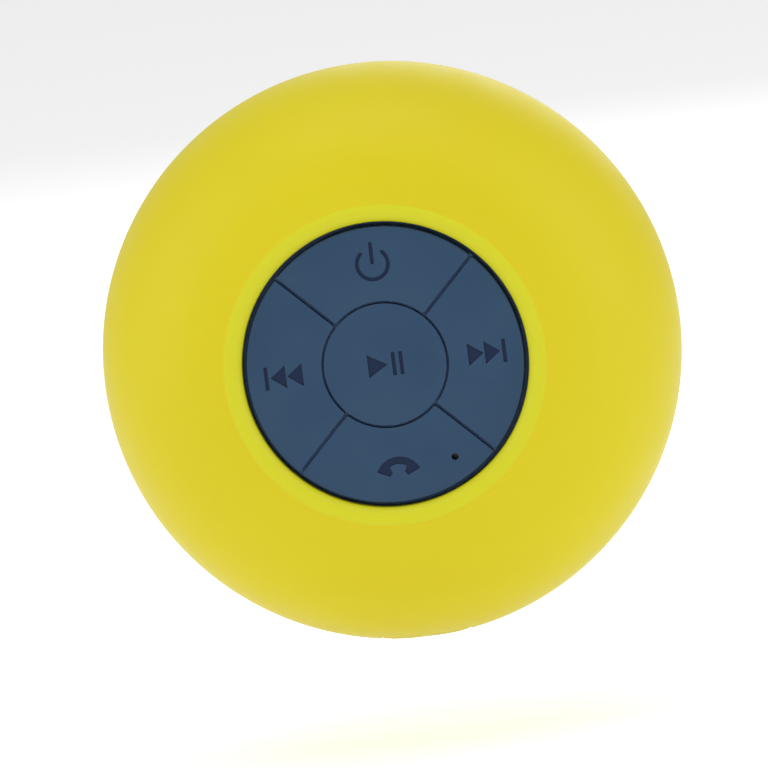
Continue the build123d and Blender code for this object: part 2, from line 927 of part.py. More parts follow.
# ---- Main board and what it carries
with BuildPart() as main_board:
    extrude(ring_face(0, board_radius, board_back_depth), amount=board_thickness)
    extrude(
        disc_faces(board_screw_spots, board_screw_radius + screw_fit, board_back_depth),
        amount=board_thickness,
        mode=Mode.SUBTRACT,
    )
save(main_board, "main_board")

board_screws = screws(
    board_screw_spots,
    board_back_depth,
    small_head_height,
    small_head_radius,
    board_screw_radius,
    board_screw_length,
    toward_front=True,
)
save(board_screws, "board_screws")

with BuildPart() as radio_module:
    with BuildSketch(at_depth(board_back_depth)):
        with Locations(module_spot):
            RectangleRounded(*module_size, 0.5)
    extrude(amount=-module_height)
save(radio_module, "radio_module")

with BuildPart() as amplifier_chip:
    with BuildSketch(at_depth(board_back_depth)):
        with Locations(amplifier_spot):
            Rectangle(*amplifier_size)
    extrude(amount=-amplifier_height)
save(amplifier_chip, "amplifier_chip")

with BuildPart() as board_capacitors:
    capacitor_spots = [
        (side_x * capacitor_spot[0], side_z * capacitor_spot[1]) for side_x in (-1, 1) for side_z in (-1, 1)
    ]
    extrude(disc_faces(capacitor_spots, capacitor_radius, board_back_depth), amount=-capacitor_height)
    fillet(edges().filter_by(GeomType.CIRCLE).group_by(Axis.Y)[-1], radius=0.3)
save(board_capacitors, "board_capacitors")

with BuildPart() as microphone:
    extrude(disc_faces([pinhole_spot], microphone_radius, board_face_depth), amount=microphone_height)
save(microphone, "microphone")

with BuildPart() as microphone_boot:
    boot_bore = microphone_radius + microphone_fit
    extrude(
        disc_faces([pinhole_spot], boot_bore + microphone_boot_wall, board_face_depth),
        amount=microphone_boot_height,
    )
    extrude(
        disc_faces([pinhole_spot], boot_bore, board_face_depth),
        amount=microphone_height + microphone_fit,
        mode=Mode.SUBTRACT,
    )
    extrude(
        disc_faces([pinhole_spot], 1.5 * pinhole_radius, board_face_depth),
        amount=microphone_boot_height,
        mode=Mode.SUBTRACT,
    )
save(microphone_boot, "microphone_boot")

# ---- Charging board and its socket
socket_mouth_z = well_floor_z
charge_board_low_z = well_floor_z + well_wall + charge_board_gap
charge_board_back = charge_board_front - charge_board_thickness
with BuildPart() as charge_board:
    with BuildSketch(at_depth(charge_board_back)):
        with Locations((0, charge_board_low_z + charge_board_length / 2)):
            RectangleRounded(charge_board_width, charge_board_length, 0.6)
    extrude(amount=charge_board_thickness)
    extrude(
        disc_faces(charge_post_spots, charge_screw_radius + screw_fit, charge_board_back),
        amount=charge_board_thickness,
        mode=Mode.SUBTRACT,
    )
save(charge_board, "charge_board")

charge_screws = screws(
    charge_post_spots,
    charge_board_back,
    small_head_height,
    small_head_radius,
    charge_screw_radius,
    charge_screw_length,
    toward_front=True,
)
save(charge_screws, "charge_screws")

with BuildPart() as charge_socket:
    with BuildSketch(Plane.XY.offset(socket_mouth_z)):
        with Locations((0, -port_depth)):
            RectangleRounded(socket_width, socket_thickness, 0.7)
    extrude(amount=socket_length)
    with BuildSketch(Plane.XY.offset(socket_mouth_z)):
        with Locations((0, -port_depth)):
            RectangleRounded(socket_width - 2 * socket_wall, socket_thickness - 2 * socket_wall, 0.45)
    extrude(amount=socket_length - socket_wall, mode=Mode.SUBTRACT)
save(charge_socket, "charge_socket")

with BuildPart() as charge_tongue:
    with BuildSketch(Plane.XY.offset(socket_mouth_z + tongue_setback)):
        with Locations((0, -port_depth)):
            Rectangle(tongue_width, tongue_thickness)
    extrude(amount=socket_length - socket_wall - tongue_setback)
save(charge_tongue, "charge_tongue")

# ---- Battery on its foam pad behind the driver
with BuildPart() as battery_pad:
    with BuildSketch(at_depth(driver_back_depth)):
        RectangleRounded(0.6 * battery_width, 0.7 * battery_height, battery_corner)
    extrude(amount=battery_pad_thickness)
save(battery_pad, "battery_pad")

with BuildPart() as battery_cell:
    with BuildSketch(at_depth(battery_face_depth)):
        RectangleRounded(battery_width, battery_height, battery_corner)
    extrude(amount=battery_thickness)
    fillet(battery_cell.faces().sort_by(Axis.Y)[0].edges(), radius=battery_corner / 3)
    fillet(battery_cell.faces().sort_by(Axis.Y)[-1].edges(), radius=battery_corner / 3)
save(battery_cell, "battery_cell")

# ---- Driver, facing the back of the speaker
flange_back_depth = basket_face_depth + basket_sheet
shelf_depth = basket_back_depth - shelf_height
with BuildPart() as driver_basket:
    revolve(
        turned(
            (driver_opening_radius, basket_face_depth),
            (driver_radius, basket_face_depth),
            (driver_radius, flange_back_depth),
            (driver_radius - basket_sheet, flange_back_depth),
            (magnet_radius + 1.4 * basket_sheet, basket_back_depth - basket_sheet),
            (magnet_radius + 1.4 * basket_sheet, basket_back_depth),
            (shelf_inner_radius, basket_back_depth),
            (shelf_inner_radius, shelf_depth),
            (magnet_radius, shelf_depth),
            (driver_radius - 2.4 * basket_sheet, flange_back_depth),
            (driver_opening_radius, flange_back_depth),
        ),
        axis=Axis.Y,
    )
    with BuildSketch(at_depth(flange_back_depth + basket_sheet / 2)):
        with PolarLocations(driver_opening_radius + basket_sheet, 4, 45):
            Rectangle(7 * basket_sheet, magnet_radius - 2.5 * basket_sheet)
    extrude(amount=shelf_depth - flange_back_depth - basket_sheet, mode=Mode.SUBTRACT)
    extrude(disc_faces(driver_screw_spots, driver_lug_radius, basket_face_depth), amount=basket_sheet)
    with BuildSketch(at_depth(basket_face_depth)):
        with Locations(terminal_spot):
            Rectangle(*terminal_size)
    extrude(amount=basket_sheet)
    extrude(
        disc_faces(driver_screw_spots, driver_screw_radius + screw_fit, basket_face_depth),
        amount=basket_sheet,
        mode=Mode.SUBTRACT,
    )
    extrude(
        ring_face(0, driver_opening_radius, basket_face_depth),
        amount=basket_sheet,
        mode=Mode.SUBTRACT,
    )
save(driver_basket, "driver_basket")

driver_screws = screws(
    driver_screw_spots,
    flange_back_depth,
    small_head_height,
    small_head_radius,
    driver_screw_radius,
    flange_back_depth - cover_inner_depth + screw_bite - boss_gap,
    toward_front=False,
)
save(driver_screws, "driver_screws")

with BuildPart() as driver_gasket:
    extrude(
        ring_face(
            driver_opening_radius + surround_land + mesh_margin,
            driver_lug_circle - driver_boss_radius - mesh_margin / 2,
            seat_rib_depth,
        ),
        amount=gasket_thickness,
    )
save(driver_gasket, "driver_gasket")

roll_inner = cone_outer_radius
roll_outer = driver_opening_radius - surround_wall / 2
roll_middle = (roll_inner + roll_outer) / 2
land_depth = basket_face_depth - surround_wall
with BuildPart() as driver_surround:
    with BuildSketch(Plane.XY):
        with BuildLine():
            ThreePointArc(
                (roll_outer, -basket_face_depth),
                (roll_middle, -(basket_face_depth + surround_rise)),
                (roll_inner, -basket_face_depth),
            )
            ThreePointArc(
                (roll_outer - surround_wall, -land_depth),
                (roll_middle, -(land_depth + surround_rise)),
                (roll_inner + surround_wall, -land_depth),
            )
            Polyline(
                (roll_inner, -basket_face_depth),
                (roll_inner - cone_land, -basket_face_depth),
                (roll_inner - cone_land, -land_depth),
                (roll_inner + surround_wall, -land_depth),
            )
            Polyline(
                (roll_outer - surround_wall, -land_depth),
                (driver_opening_radius + surround_land, -land_depth),
                (driver_opening_radius + surround_land, -basket_face_depth),
                (roll_outer, -basket_face_depth),
            )
        make_face()
    revolve(axis=Axis.Y)
save(driver_surround, "driver_surround")

with BuildPart() as driver_cone:
    revolve(
        turned(
            (cone_outer_radius - cone_wall / 2, basket_face_depth),
            (cone_outer_radius - cone_land, basket_face_depth),
            (coil_radius, coil_join_depth - cone_wall),
            (coil_radius, coil_join_depth),
            (cone_outer_radius - cone_land, basket_face_depth + cone_wall),
            (cone_outer_radius - cone_wall / 2, basket_face_depth + cone_wall),
        ),
        axis=Axis.Y,
    )
save(driver_cone, "driver_cone")

former_face_depth = coil_join_depth - cone_wall - former_start
former_back_depth = former_face_depth + former_length
with BuildPart() as dust_cap:
    with BuildSketch(Plane.XY):
        with BuildLine():
            ThreePointArc(
                (-coil_radius, -former_face_depth),
                (0, -(former_face_depth - dust_cap_rise)),
                (coil_radius, -former_face_depth),
            )
            ThreePointArc(
                (-coil_radius + cone_wall, -former_face_depth),
                (0, -(former_face_depth - dust_cap_rise + cone_wall)),
                (coil_radius - cone_wall, -former_face_depth),
            )
            Line((coil_radius, -former_face_depth), (coil_radius - cone_wall, -former_face_depth))
            Line((-coil_radius, -former_face_depth), (-coil_radius + cone_wall, -former_face_depth))
        make_face()
        split(bisect_by=Plane.YZ, keep=Keep.TOP)
    revolve(axis=Axis.Y)
save(dust_cap, "dust_cap")

with BuildPart() as coil_former:
    extrude(ring_face(coil_radius - former_wall, coil_radius, former_face_depth), amount=former_length)
save(coil_former, "coil_former")

with BuildPart() as voice_coil:
    extrude(
        ring_face(coil_radius, coil_radius + winding_wall, former_back_depth - winding_length),
        amount=winding_length,
    )
save(voice_coil, "voice_coil")

with BuildPart() as driver_spider:
    spider_start = coil_radius + winding_wall
    wave_step = (shelf_inner_radius - mesh_margin - spider_start) / (2 * spider_waves)
    wave_radii = [spider_start + wave_step * step for step in range(2 * spider_waves + 1)]
    wave_depths = [shelf_depth - spider_wall * (1 + step % 2) for step in range(2 * spider_waves + 1)]
    near_side = [(coil_radius + plunger_fit, wave_depths[0]), *zip(wave_radii, wave_depths)]
    near_side.append((magnet_radius - plunger_fit, shelf_depth - spider_wall))
    far_side = [(radius, depth + spider_wall) for radius, depth in reversed(near_side)]
    revolve(turned(*near_side, *far_side), axis=Axis.Y)
save(driver_spider, "driver_spider")

with BuildPart() as driver_top_plate:
    extrude(
        ring_face(coil_radius + winding_wall + plate_gap, magnet_radius, basket_back_depth),
        amount=top_plate_thickness,
    )
save(driver_top_plate, "driver_top_plate")

with BuildPart() as driver_magnet:
    extrude(ring_face(magnet_bore, magnet_radius, magnet_face_depth), amount=magnet_thickness)
save(driver_magnet, "driver_magnet")

with BuildPart() as driver_yoke:
    extrude(ring_face(0, magnet_radius, yoke_face_depth), amount=yoke_thickness)
    extrude(
        ring_face(0, coil_radius - former_wall - pole_gap, basket_back_depth),
        amount=yoke_face_depth - basket_back_depth,
    )
    extrude(
        ring_face(0, pole_vent_radius, basket_back_depth),
        amount=driver_back_depth - basket_back_depth,
        mode=Mode.SUBTRACT,
    )
save(driver_yoke, "driver_yoke")

tab_spots = [
    (terminal_spot[0], terminal_spot[1] - terminal_pitch / 2),
    (terminal_spot[0], terminal_spot[1] + terminal_pitch / 2),
]
tab_depth = flange_back_depth + terminal_board_thickness
with BuildPart() as terminal_board:
    with BuildSketch(at_depth(flange_back_depth)):
        with Locations(terminal_spot):
            Rectangle(*terminal_size)
    extrude(amount=terminal_board_thickness)
save(terminal_board, "terminal_board")

with BuildPart() as terminal_tabs:
    with BuildSketch(at_depth(tab_depth)):
        with Locations(*tab_spots):
            Rectangle(terminal_size[0] - 2 * tab_thickness, terminal_pitch - 2 * tab_thickness)
    extrude(amount=tab_thickness)
save(terminal_tabs, "terminal_tabs")

# ---- Suction cup, its stud, and the washer and screw that hold the stud in the rear cover
cavity_radius = cup_radius - cup_lip_width
cavity_sphere = (cavity_radius**2 + cup_cavity_height**2) / (2 * cup_cavity_height)
dome_height = cup_cavity_height + cup_wall
dome_sphere = (cup_radius**2 + (dome_height - cup_lip) ** 2) / (2 * (dome_height - cup_lip))
hub_root_depth = dome_height - dome_sphere + sqrt(dome_sphere**2 - cup_hub_radius**2)
stud_foot_end = stud_foot_depth + stud_foot_thickness
stud_flange_depth = cup_hub_depth + stud_gap
stud_seat_depth = cover_face_depth - stud_gap
boss_inner_depth = cover_face_depth + socket_boss_length
washer_depth = boss_inner_depth + stud_gap
with BuildPart() as suction_cup:
    with BuildSketch(Plane.XY):
        with BuildLine():
            RadiusArc((0, -cup_cavity_height), (cavity_radius, 0), -cavity_sphere)
            RadiusArc((cup_radius, -cup_lip), (cup_hub_radius, -hub_root_depth), dome_sphere)
            Polyline((cavity_radius, 0), (cup_radius, 0), (cup_radius, -cup_lip))
            Polyline(
                (cup_hub_radius, -hub_root_depth),
                (cup_hub_radius, -cup_hub_depth),
                (0, -cup_hub_depth),
                (0, -cup_cavity_height),
            )
        make_face()
        hub_root = vertices().sort_by_distance((cup_hub_radius, -hub_root_depth))[0]
        fillet(hub_root, radius=cup_hub_round)
    revolve(axis=Axis.Y)
    revolve(
        turned(
            (0, stud_foot_depth - stud_gap),
            (stud_foot_radius + stud_gap, stud_foot_depth - stud_gap),
            (stud_foot_radius + stud_gap, stud_foot_end + stud_gap),
            (stud_neck_radius + stud_gap, stud_foot_end + stud_gap),
            (stud_neck_radius + stud_gap, cup_hub_depth),
            (0, cup_hub_depth),
        ),
        axis=Axis.Y,
        mode=Mode.SUBTRACT,
    )
save(suction_cup, "suction_cup")

with BuildPart() as cup_stud:
    revolve(
        turned(
            (0, stud_foot_depth),
            (stud_foot_radius, stud_foot_depth),
            (stud_foot_radius, stud_foot_end),
            (stud_neck_radius, stud_foot_end),
            (stud_neck_radius, stud_flange_depth),
            (stud_flange_radius, stud_flange_depth),
            (stud_flange_radius, stud_seat_depth),
            (stud_radius - stud_fit, stud_seat_depth),
            (stud_radius - stud_fit, washer_depth),
            (0, washer_depth),
        ),
        axis=Axis.Y,
    )
    extrude(
        ring_face(0, stud_screw_radius + screw_fit, washer_depth),
        amount=-(stud_screw_length + screw_end_room),
        mode=Mode.SUBTRACT,
    )
save(cup_stud, "cup_stud")

with BuildPart() as stud_washer:
    extrude(
        ring_face(stud_screw_radius + screw_fit, stud_washer_radius, washer_depth),
        amount=stud_washer_thickness,
    )
save(stud_washer, "stud_washer")

stud_screw = screws(
    [(0, 0)],
    washer_depth + stud_washer_thickness,
    stud_screw_head_height,
    stud_screw_head_radius,
    stud_screw_radius,
    stud_screw_length + stud_washer_thickness,
    toward_front=False,
)
save(stud_screw, "stud_screw")

# ---- Leads, each a route of (x, depth, z) points
battery_middle_depth = battery_face_depth + battery_thickness / 2
battery_end_x = battery_width / 2
battery_route = [
    (battery_end_x, battery_middle_depth),
    (battery_end_x + battery_lead_reach, battery_middle_depth),
    (battery_end_x + battery_lead_reach, board_back_depth),
]
tab_top_depth = tab_depth + tab_thickness
speaker_route = [
    (terminal_spot[0], tab_top_depth),
    (terminal_spot[0], tab_top_depth + speaker_lead_rise),
    (terminal_spot[0] - speaker_lead_bow, battery_face_depth - lead_bend),
    (terminal_spot[0] - speaker_lead_bow, battery_middle_depth),
    (terminal_spot[0], board_back_depth - lead_bend / 3),
]
charge_lead_z = charge_board_low_z + charge_board_length - 2 * lead_radius - screw_end_room
charge_route = [
    (charge_board_front, charge_lead_z),
    (battery_face_depth, charge_lead_z),
    (battery_middle_depth, charge_lead_end_z),
    (board_back_depth, charge_lead_end_z),
]
lead_sides = {"red": 1, "black": -1}
for colour, side in lead_sides.items():
    battery_lead_z = side * battery_lead_spacing / 2
    battery_lead = lead([(x, -depth, battery_lead_z) for x, depth in battery_route], lead_bend)
    save(battery_lead, f"battery_lead_{colour}")
    speaker_lead_z = terminal_spot[1] + side * terminal_pitch / 2
    speaker_lead = lead([(x, -depth, speaker_lead_z) for x, depth in speaker_route], lead_bend)
    save(speaker_lead, f"speaker_lead_{colour}")
    charge_lead_x = side * charge_lead_spacing / 2
    charge_lead = lead([(charge_lead_x, -depth, z) for depth, z in charge_route], lead_bend)
    save(charge_lead, f"charge_lead_{colour}")
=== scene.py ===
import logging
import math
from dataclasses import dataclass, field
from enum import Enum
from typing import Callable, Iterable, Sequence

import bmesh
import bpy
from mathutils import Matrix, Vector
from mathutils.geometry import delaunay_2d_cdt


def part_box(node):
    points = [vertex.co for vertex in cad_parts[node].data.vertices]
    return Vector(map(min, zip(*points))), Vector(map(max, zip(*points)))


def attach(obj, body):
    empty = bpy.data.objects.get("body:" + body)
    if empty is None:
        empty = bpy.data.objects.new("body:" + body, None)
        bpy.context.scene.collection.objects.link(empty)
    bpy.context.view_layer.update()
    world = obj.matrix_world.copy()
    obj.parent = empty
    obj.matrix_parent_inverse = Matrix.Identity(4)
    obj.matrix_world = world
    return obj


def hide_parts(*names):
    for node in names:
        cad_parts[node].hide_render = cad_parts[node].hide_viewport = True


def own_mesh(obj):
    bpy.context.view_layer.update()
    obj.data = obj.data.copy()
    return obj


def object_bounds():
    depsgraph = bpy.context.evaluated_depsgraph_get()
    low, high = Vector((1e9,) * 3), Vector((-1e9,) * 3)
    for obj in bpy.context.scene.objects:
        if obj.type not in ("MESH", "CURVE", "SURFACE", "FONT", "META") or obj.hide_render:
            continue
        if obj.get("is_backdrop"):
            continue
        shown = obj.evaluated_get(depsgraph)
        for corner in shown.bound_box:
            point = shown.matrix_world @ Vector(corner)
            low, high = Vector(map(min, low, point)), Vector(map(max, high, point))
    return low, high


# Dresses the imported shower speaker: silicone jacket, keypad, port flap, rear cover, suction
# cup and inner parts. Metres; the front faces -Y, the wall is the plane Y = 0 and +Z is up.

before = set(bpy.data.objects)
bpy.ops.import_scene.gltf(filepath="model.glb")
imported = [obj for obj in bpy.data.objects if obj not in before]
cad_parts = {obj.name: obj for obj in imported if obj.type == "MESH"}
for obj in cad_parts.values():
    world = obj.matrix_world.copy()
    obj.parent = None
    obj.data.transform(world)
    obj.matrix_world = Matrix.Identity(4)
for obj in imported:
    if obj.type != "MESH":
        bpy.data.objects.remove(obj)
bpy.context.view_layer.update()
LOG = logging.getLogger("shower_speaker")

Point = tuple[float, float]
Colour = tuple[float, float, float]
MM = 0.001
SHARP_EDGE = math.radians(34)
WELD_DISTANCE = 0.5e-6      # points nearer than this become one
ON_AXIS = 1e-7              # a profile point nearer the axis than this lies on it
MERGE_DISTANCE = 1e-8       # the same, when a flat face is filled
FILL_INSIDE = 1             # the filler keeps only what lies inside an outline


# ---------------------------------------------------------------- mesh tools
def add_piece(
    name: str, mesh: bpy.types.Mesh, body: str, nodes: Sequence[str]
) -> bpy.types.Object:
    """Adds a finished mesh to the scene as a piece of the object.

    Args:
        name: the piece's name.
        mesh: its mesh, in the shared frame.
        body: the body that it rides on.
        nodes: the CAD nodes that it replaces.

    Returns:
        The new object.
    """
    piece = bpy.data.objects.new(name, mesh)
    bpy.context.scene.collection.objects.link(piece)
    mesh.shade_smooth()
    mesh.set_sharp_from_angle(angle=SHARP_EDGE)
    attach(piece, body)
    if nodes:
        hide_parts(*nodes)
    return piece


def mesh_from(bm: bmesh.types.BMesh, name: str) -> bpy.types.Mesh:
    """Welds a working mesh, turns its faces outwards and stores it.

    Args:
        bm: the working mesh, which is freed.
        name: the name of the stored mesh.

    Returns:
        The stored mesh.
    """
    bmesh.ops.remove_doubles(bm, verts=bm.verts, dist=WELD_DISTANCE)
    bmesh.ops.recalc_face_normals(bm, faces=bm.faces)
    mesh = bpy.data.meshes.new(name)
    bm.to_mesh(mesh)
    bm.free()
    return mesh


def bridge(
    bm: bmesh.types.BMesh,
    low: Sequence[bmesh.types.BMVert],
    high: Sequence[bmesh.types.BMVert],
) -> None:
    """Joins two closed loops of equal length with quads.

    Args:
        bm: the working mesh that the quads go into.
        low: the first loop's points, in order.
        high: the second loop's points, in the same order.
    """
    count = len(low)
    for i in range(count):
        j = (i + 1) % count
        bm.faces.new((low[i], low[j], high[j], high[i]))


def polar(centre: Point, radius: float, angle: float) -> Point:
    """The point at a radius from a centre and at an angle, in degrees."""
    turn = math.radians(angle)
    return (centre[0] + radius * math.cos(turn), centre[1] + radius * math.sin(turn))


def arc_points(centre: Point, radius: float, start: float, end: float, steps: int) -> list[Point]:
    """Points along an arc.

    Args:
        centre: the arc's centre.
        radius: its radius.
        start: first angle, in degrees.
        end: last angle, in degrees.
        steps: number of spans between the first and the last point.

    Returns:
        The points in order, both ends included.
    """
    return [polar(centre, radius, start + (end - start) * i / steps) for i in range(steps + 1)]


def rounded_rectangle(width: float, height: float, corner: float, steps: int = 8) -> list[Point]:
    """Outline of a rectangle with round corners about the origin.

    Args:
        width: size along the first axis.
        height: size along the second axis.
        corner: radius of its corners.
        steps: spans in each corner.

    Returns:
        The outline's points, counter-clockwise.
    """
    points: list[Point] = []
    for turn, (side_x, side_y) in enumerate(((1, 1), (-1, 1), (-1, -1), (1, -1))):
        centre = (side_x * (width / 2 - corner), side_y * (height / 2 - corner))
        points += arc_points(centre, corner, 90 * turn, 90 * turn + 90, steps)
    return points


def ellipse_arc(
    centre: Point, reach: float, rise: float, start: float, end: float, steps: int
) -> list[Point]:
    """Points along an ellipse, from one parameter angle to another, in degrees."""
    angles = [math.radians(start + (end - start) * i / steps) for i in range(steps + 1)]
    return [(centre[0] + reach * math.cos(a), centre[1] + rise * math.sin(a)) for a in angles]


def bend(start: Vector, tip: Vector, end: Vector, share: float) -> Vector:
    """The point at a share of a curve from start to end that is pulled towards tip."""
    rest = 1 - share
    return rest**2 * start + 2 * share * rest * tip + share**2 * end


def soft_corner(
    before: Point, corner: Point, after: Point, size: float, steps: int = 6
) -> list[Point]:
    """Rounds one corner of a profile.

    Args:
        before: the point ahead of the corner.
        corner: the sharp corner.
        after: the point past the corner.
        size: distance from the corner at which the rounding starts.
        steps: spans in the rounding.

    Returns:
        The rounding's points.
    """
    tip = Vector(corner)
    start = tip + (Vector(before) - tip).normalized() * size
    end = tip + (Vector(after) - tip).normalized() * size
    points: list[Point] = []
    for i in range(steps + 1):
        point = bend(start, tip, end, i / steps)
        points.append((point.x, point.y))
    return points


def lathe(profile: Sequence[Point], segments: int, name: str) -> bpy.types.Mesh:
    """Turns a closed profile about the Y axis.

    Args:
        profile: (radius, y) points round the section; a radius of 0 lies on the axis.
        segments: number of steps round the axis.
        name: the mesh's name.

    Returns:
        The turned mesh.
    """
    bm = bmesh.new()
    rows: list[list[bmesh.types.BMVert]] = []
    for radius, y in profile:
        if radius < ON_AXIS:
            rows.append([bm.verts.new((0, y, 0))])
            continue
        ring = []
        for i in range(segments):
            a = 2 * math.pi * i / segments
            ring.append(bm.verts.new((radius * math.cos(a), y, radius * math.sin(a))))
        rows.append(ring)
    for row, following in zip(rows, rows[1:] + rows[:1]):
        if len(row) == 1 and len(following) == 1:
            continue
        for i in range(segments):
            j = (i + 1) % segments
            if len(row) == 1:
                bm.faces.new((row[0], following[j], following[i]))
            elif len(following) == 1:
                bm.faces.new((row[i], row[j], following[0]))
            else:
                bm.faces.new((row[i], row[j], following[j], following[i]))
    return mesh_from(bm, name)


def cut(mesh: bpy.types.Mesh, tools: Iterable[bpy.types.Mesh]) -> bpy.types.Mesh:
    """Cuts tool meshes out of a mesh.

    Args:
        mesh: the mesh to cut.
        tools: closed meshes that are taken away from it.

    Returns:
        The mesh that is left.
    """
    scene = bpy.context.scene
    work = bpy.data.objects.new("work", mesh)
    scene.collection.objects.link(work)
    helpers = []
    for tool in tools:
        helper = bpy.data.objects.new("tool", tool)
        scene.collection.objects.link(helper)
        modifier = work.modifiers.new("cut", "BOOLEAN")
        modifier.operation = "DIFFERENCE"
        modifier.solver = "EXACT"
        modifier.object = helper
        helpers.append(helper)
    bpy.context.view_layer.update()
    evaluated = work.evaluated_get(bpy.context.evaluated_depsgraph_get())
    result = bpy.data.meshes.new_from_object(evaluated)
    for helper in [work, *helpers]:
        bpy.data.objects.remove(helper)
    return result


def flat_face(
    bm: bmesh.types.BMesh,
    outline: Sequence[Point],
    y: float,
    recesses: Sequence[Sequence[Point]] = (),
    recess_y: float = 0.0,
    holes: Sequence[Sequence[Point]] = (),
) -> None:
    """Fills a flat face square to the Y axis, with sunk shapes and holes in it.

    Args:
        bm: the working mesh that the face goes into.
        outline: the face's (x, z) outline.
        y: where the face lies.
        recesses: outlines of the shapes sunk in it.
        recess_y: where the floors of the sunk shapes lie.
        holes: outlines of the holes through it.
    """
    loops = [counter_clockwise(loop) for loop in (outline, *recesses, *holes)]
    points: list[Vector] = []
    faces: list[list[int]] = []
    for loop in loops:
        faces.append(list(range(len(points), len(points) + len(loop))))
        points += [Vector(p) for p in loop]
    found = delaunay_2d_cdt(points, [], faces, FILL_INSIDE, MERGE_DISTANCE, True)
    flat_points, flat_faces, origins = found[0], found[2], found[5]
    first_hole = 1 + len(recesses)
    for indices, origin in zip(flat_faces, origins):
        inside = set(origin)
        if not inside or max(inside) >= first_hole:
            continue
        level = recess_y if any(1 <= k < first_hole for k in inside) else y
        bm.faces.new([bm.verts.new((flat_points[i].x, level, flat_points[i].y)) for i in indices])
    for loop in recesses:
        wall(bm, loop, y, recess_y)


def counter_clockwise(loop: Sequence[Point]) -> list[Point]:
    """The same loop, turned round if it runs clockwise."""
    doubled = sum(a[0] * b[1] - b[0] * a[1] for a, b in zip(loop, [*loop[1:], loop[0]]))
    return list(loop) if doubled > 0 else list(reversed(loop))


def wall(bm: bmesh.types.BMesh, loop: Sequence[Point], y: float, other_y: float) -> None:
    """Adds the wall between two flat copies of an (x, z) outline.

    Args:
        bm: the working mesh that the wall goes into.
        loop: the outline.
        y: where the first copy lies.
        other_y: where the second copy lies.
    """
    near = [bm.verts.new((x, y, z)) for x, z in loop]
    far = [bm.verts.new((x, other_y, z)) for x, z in loop]
    bridge(bm, near, far)


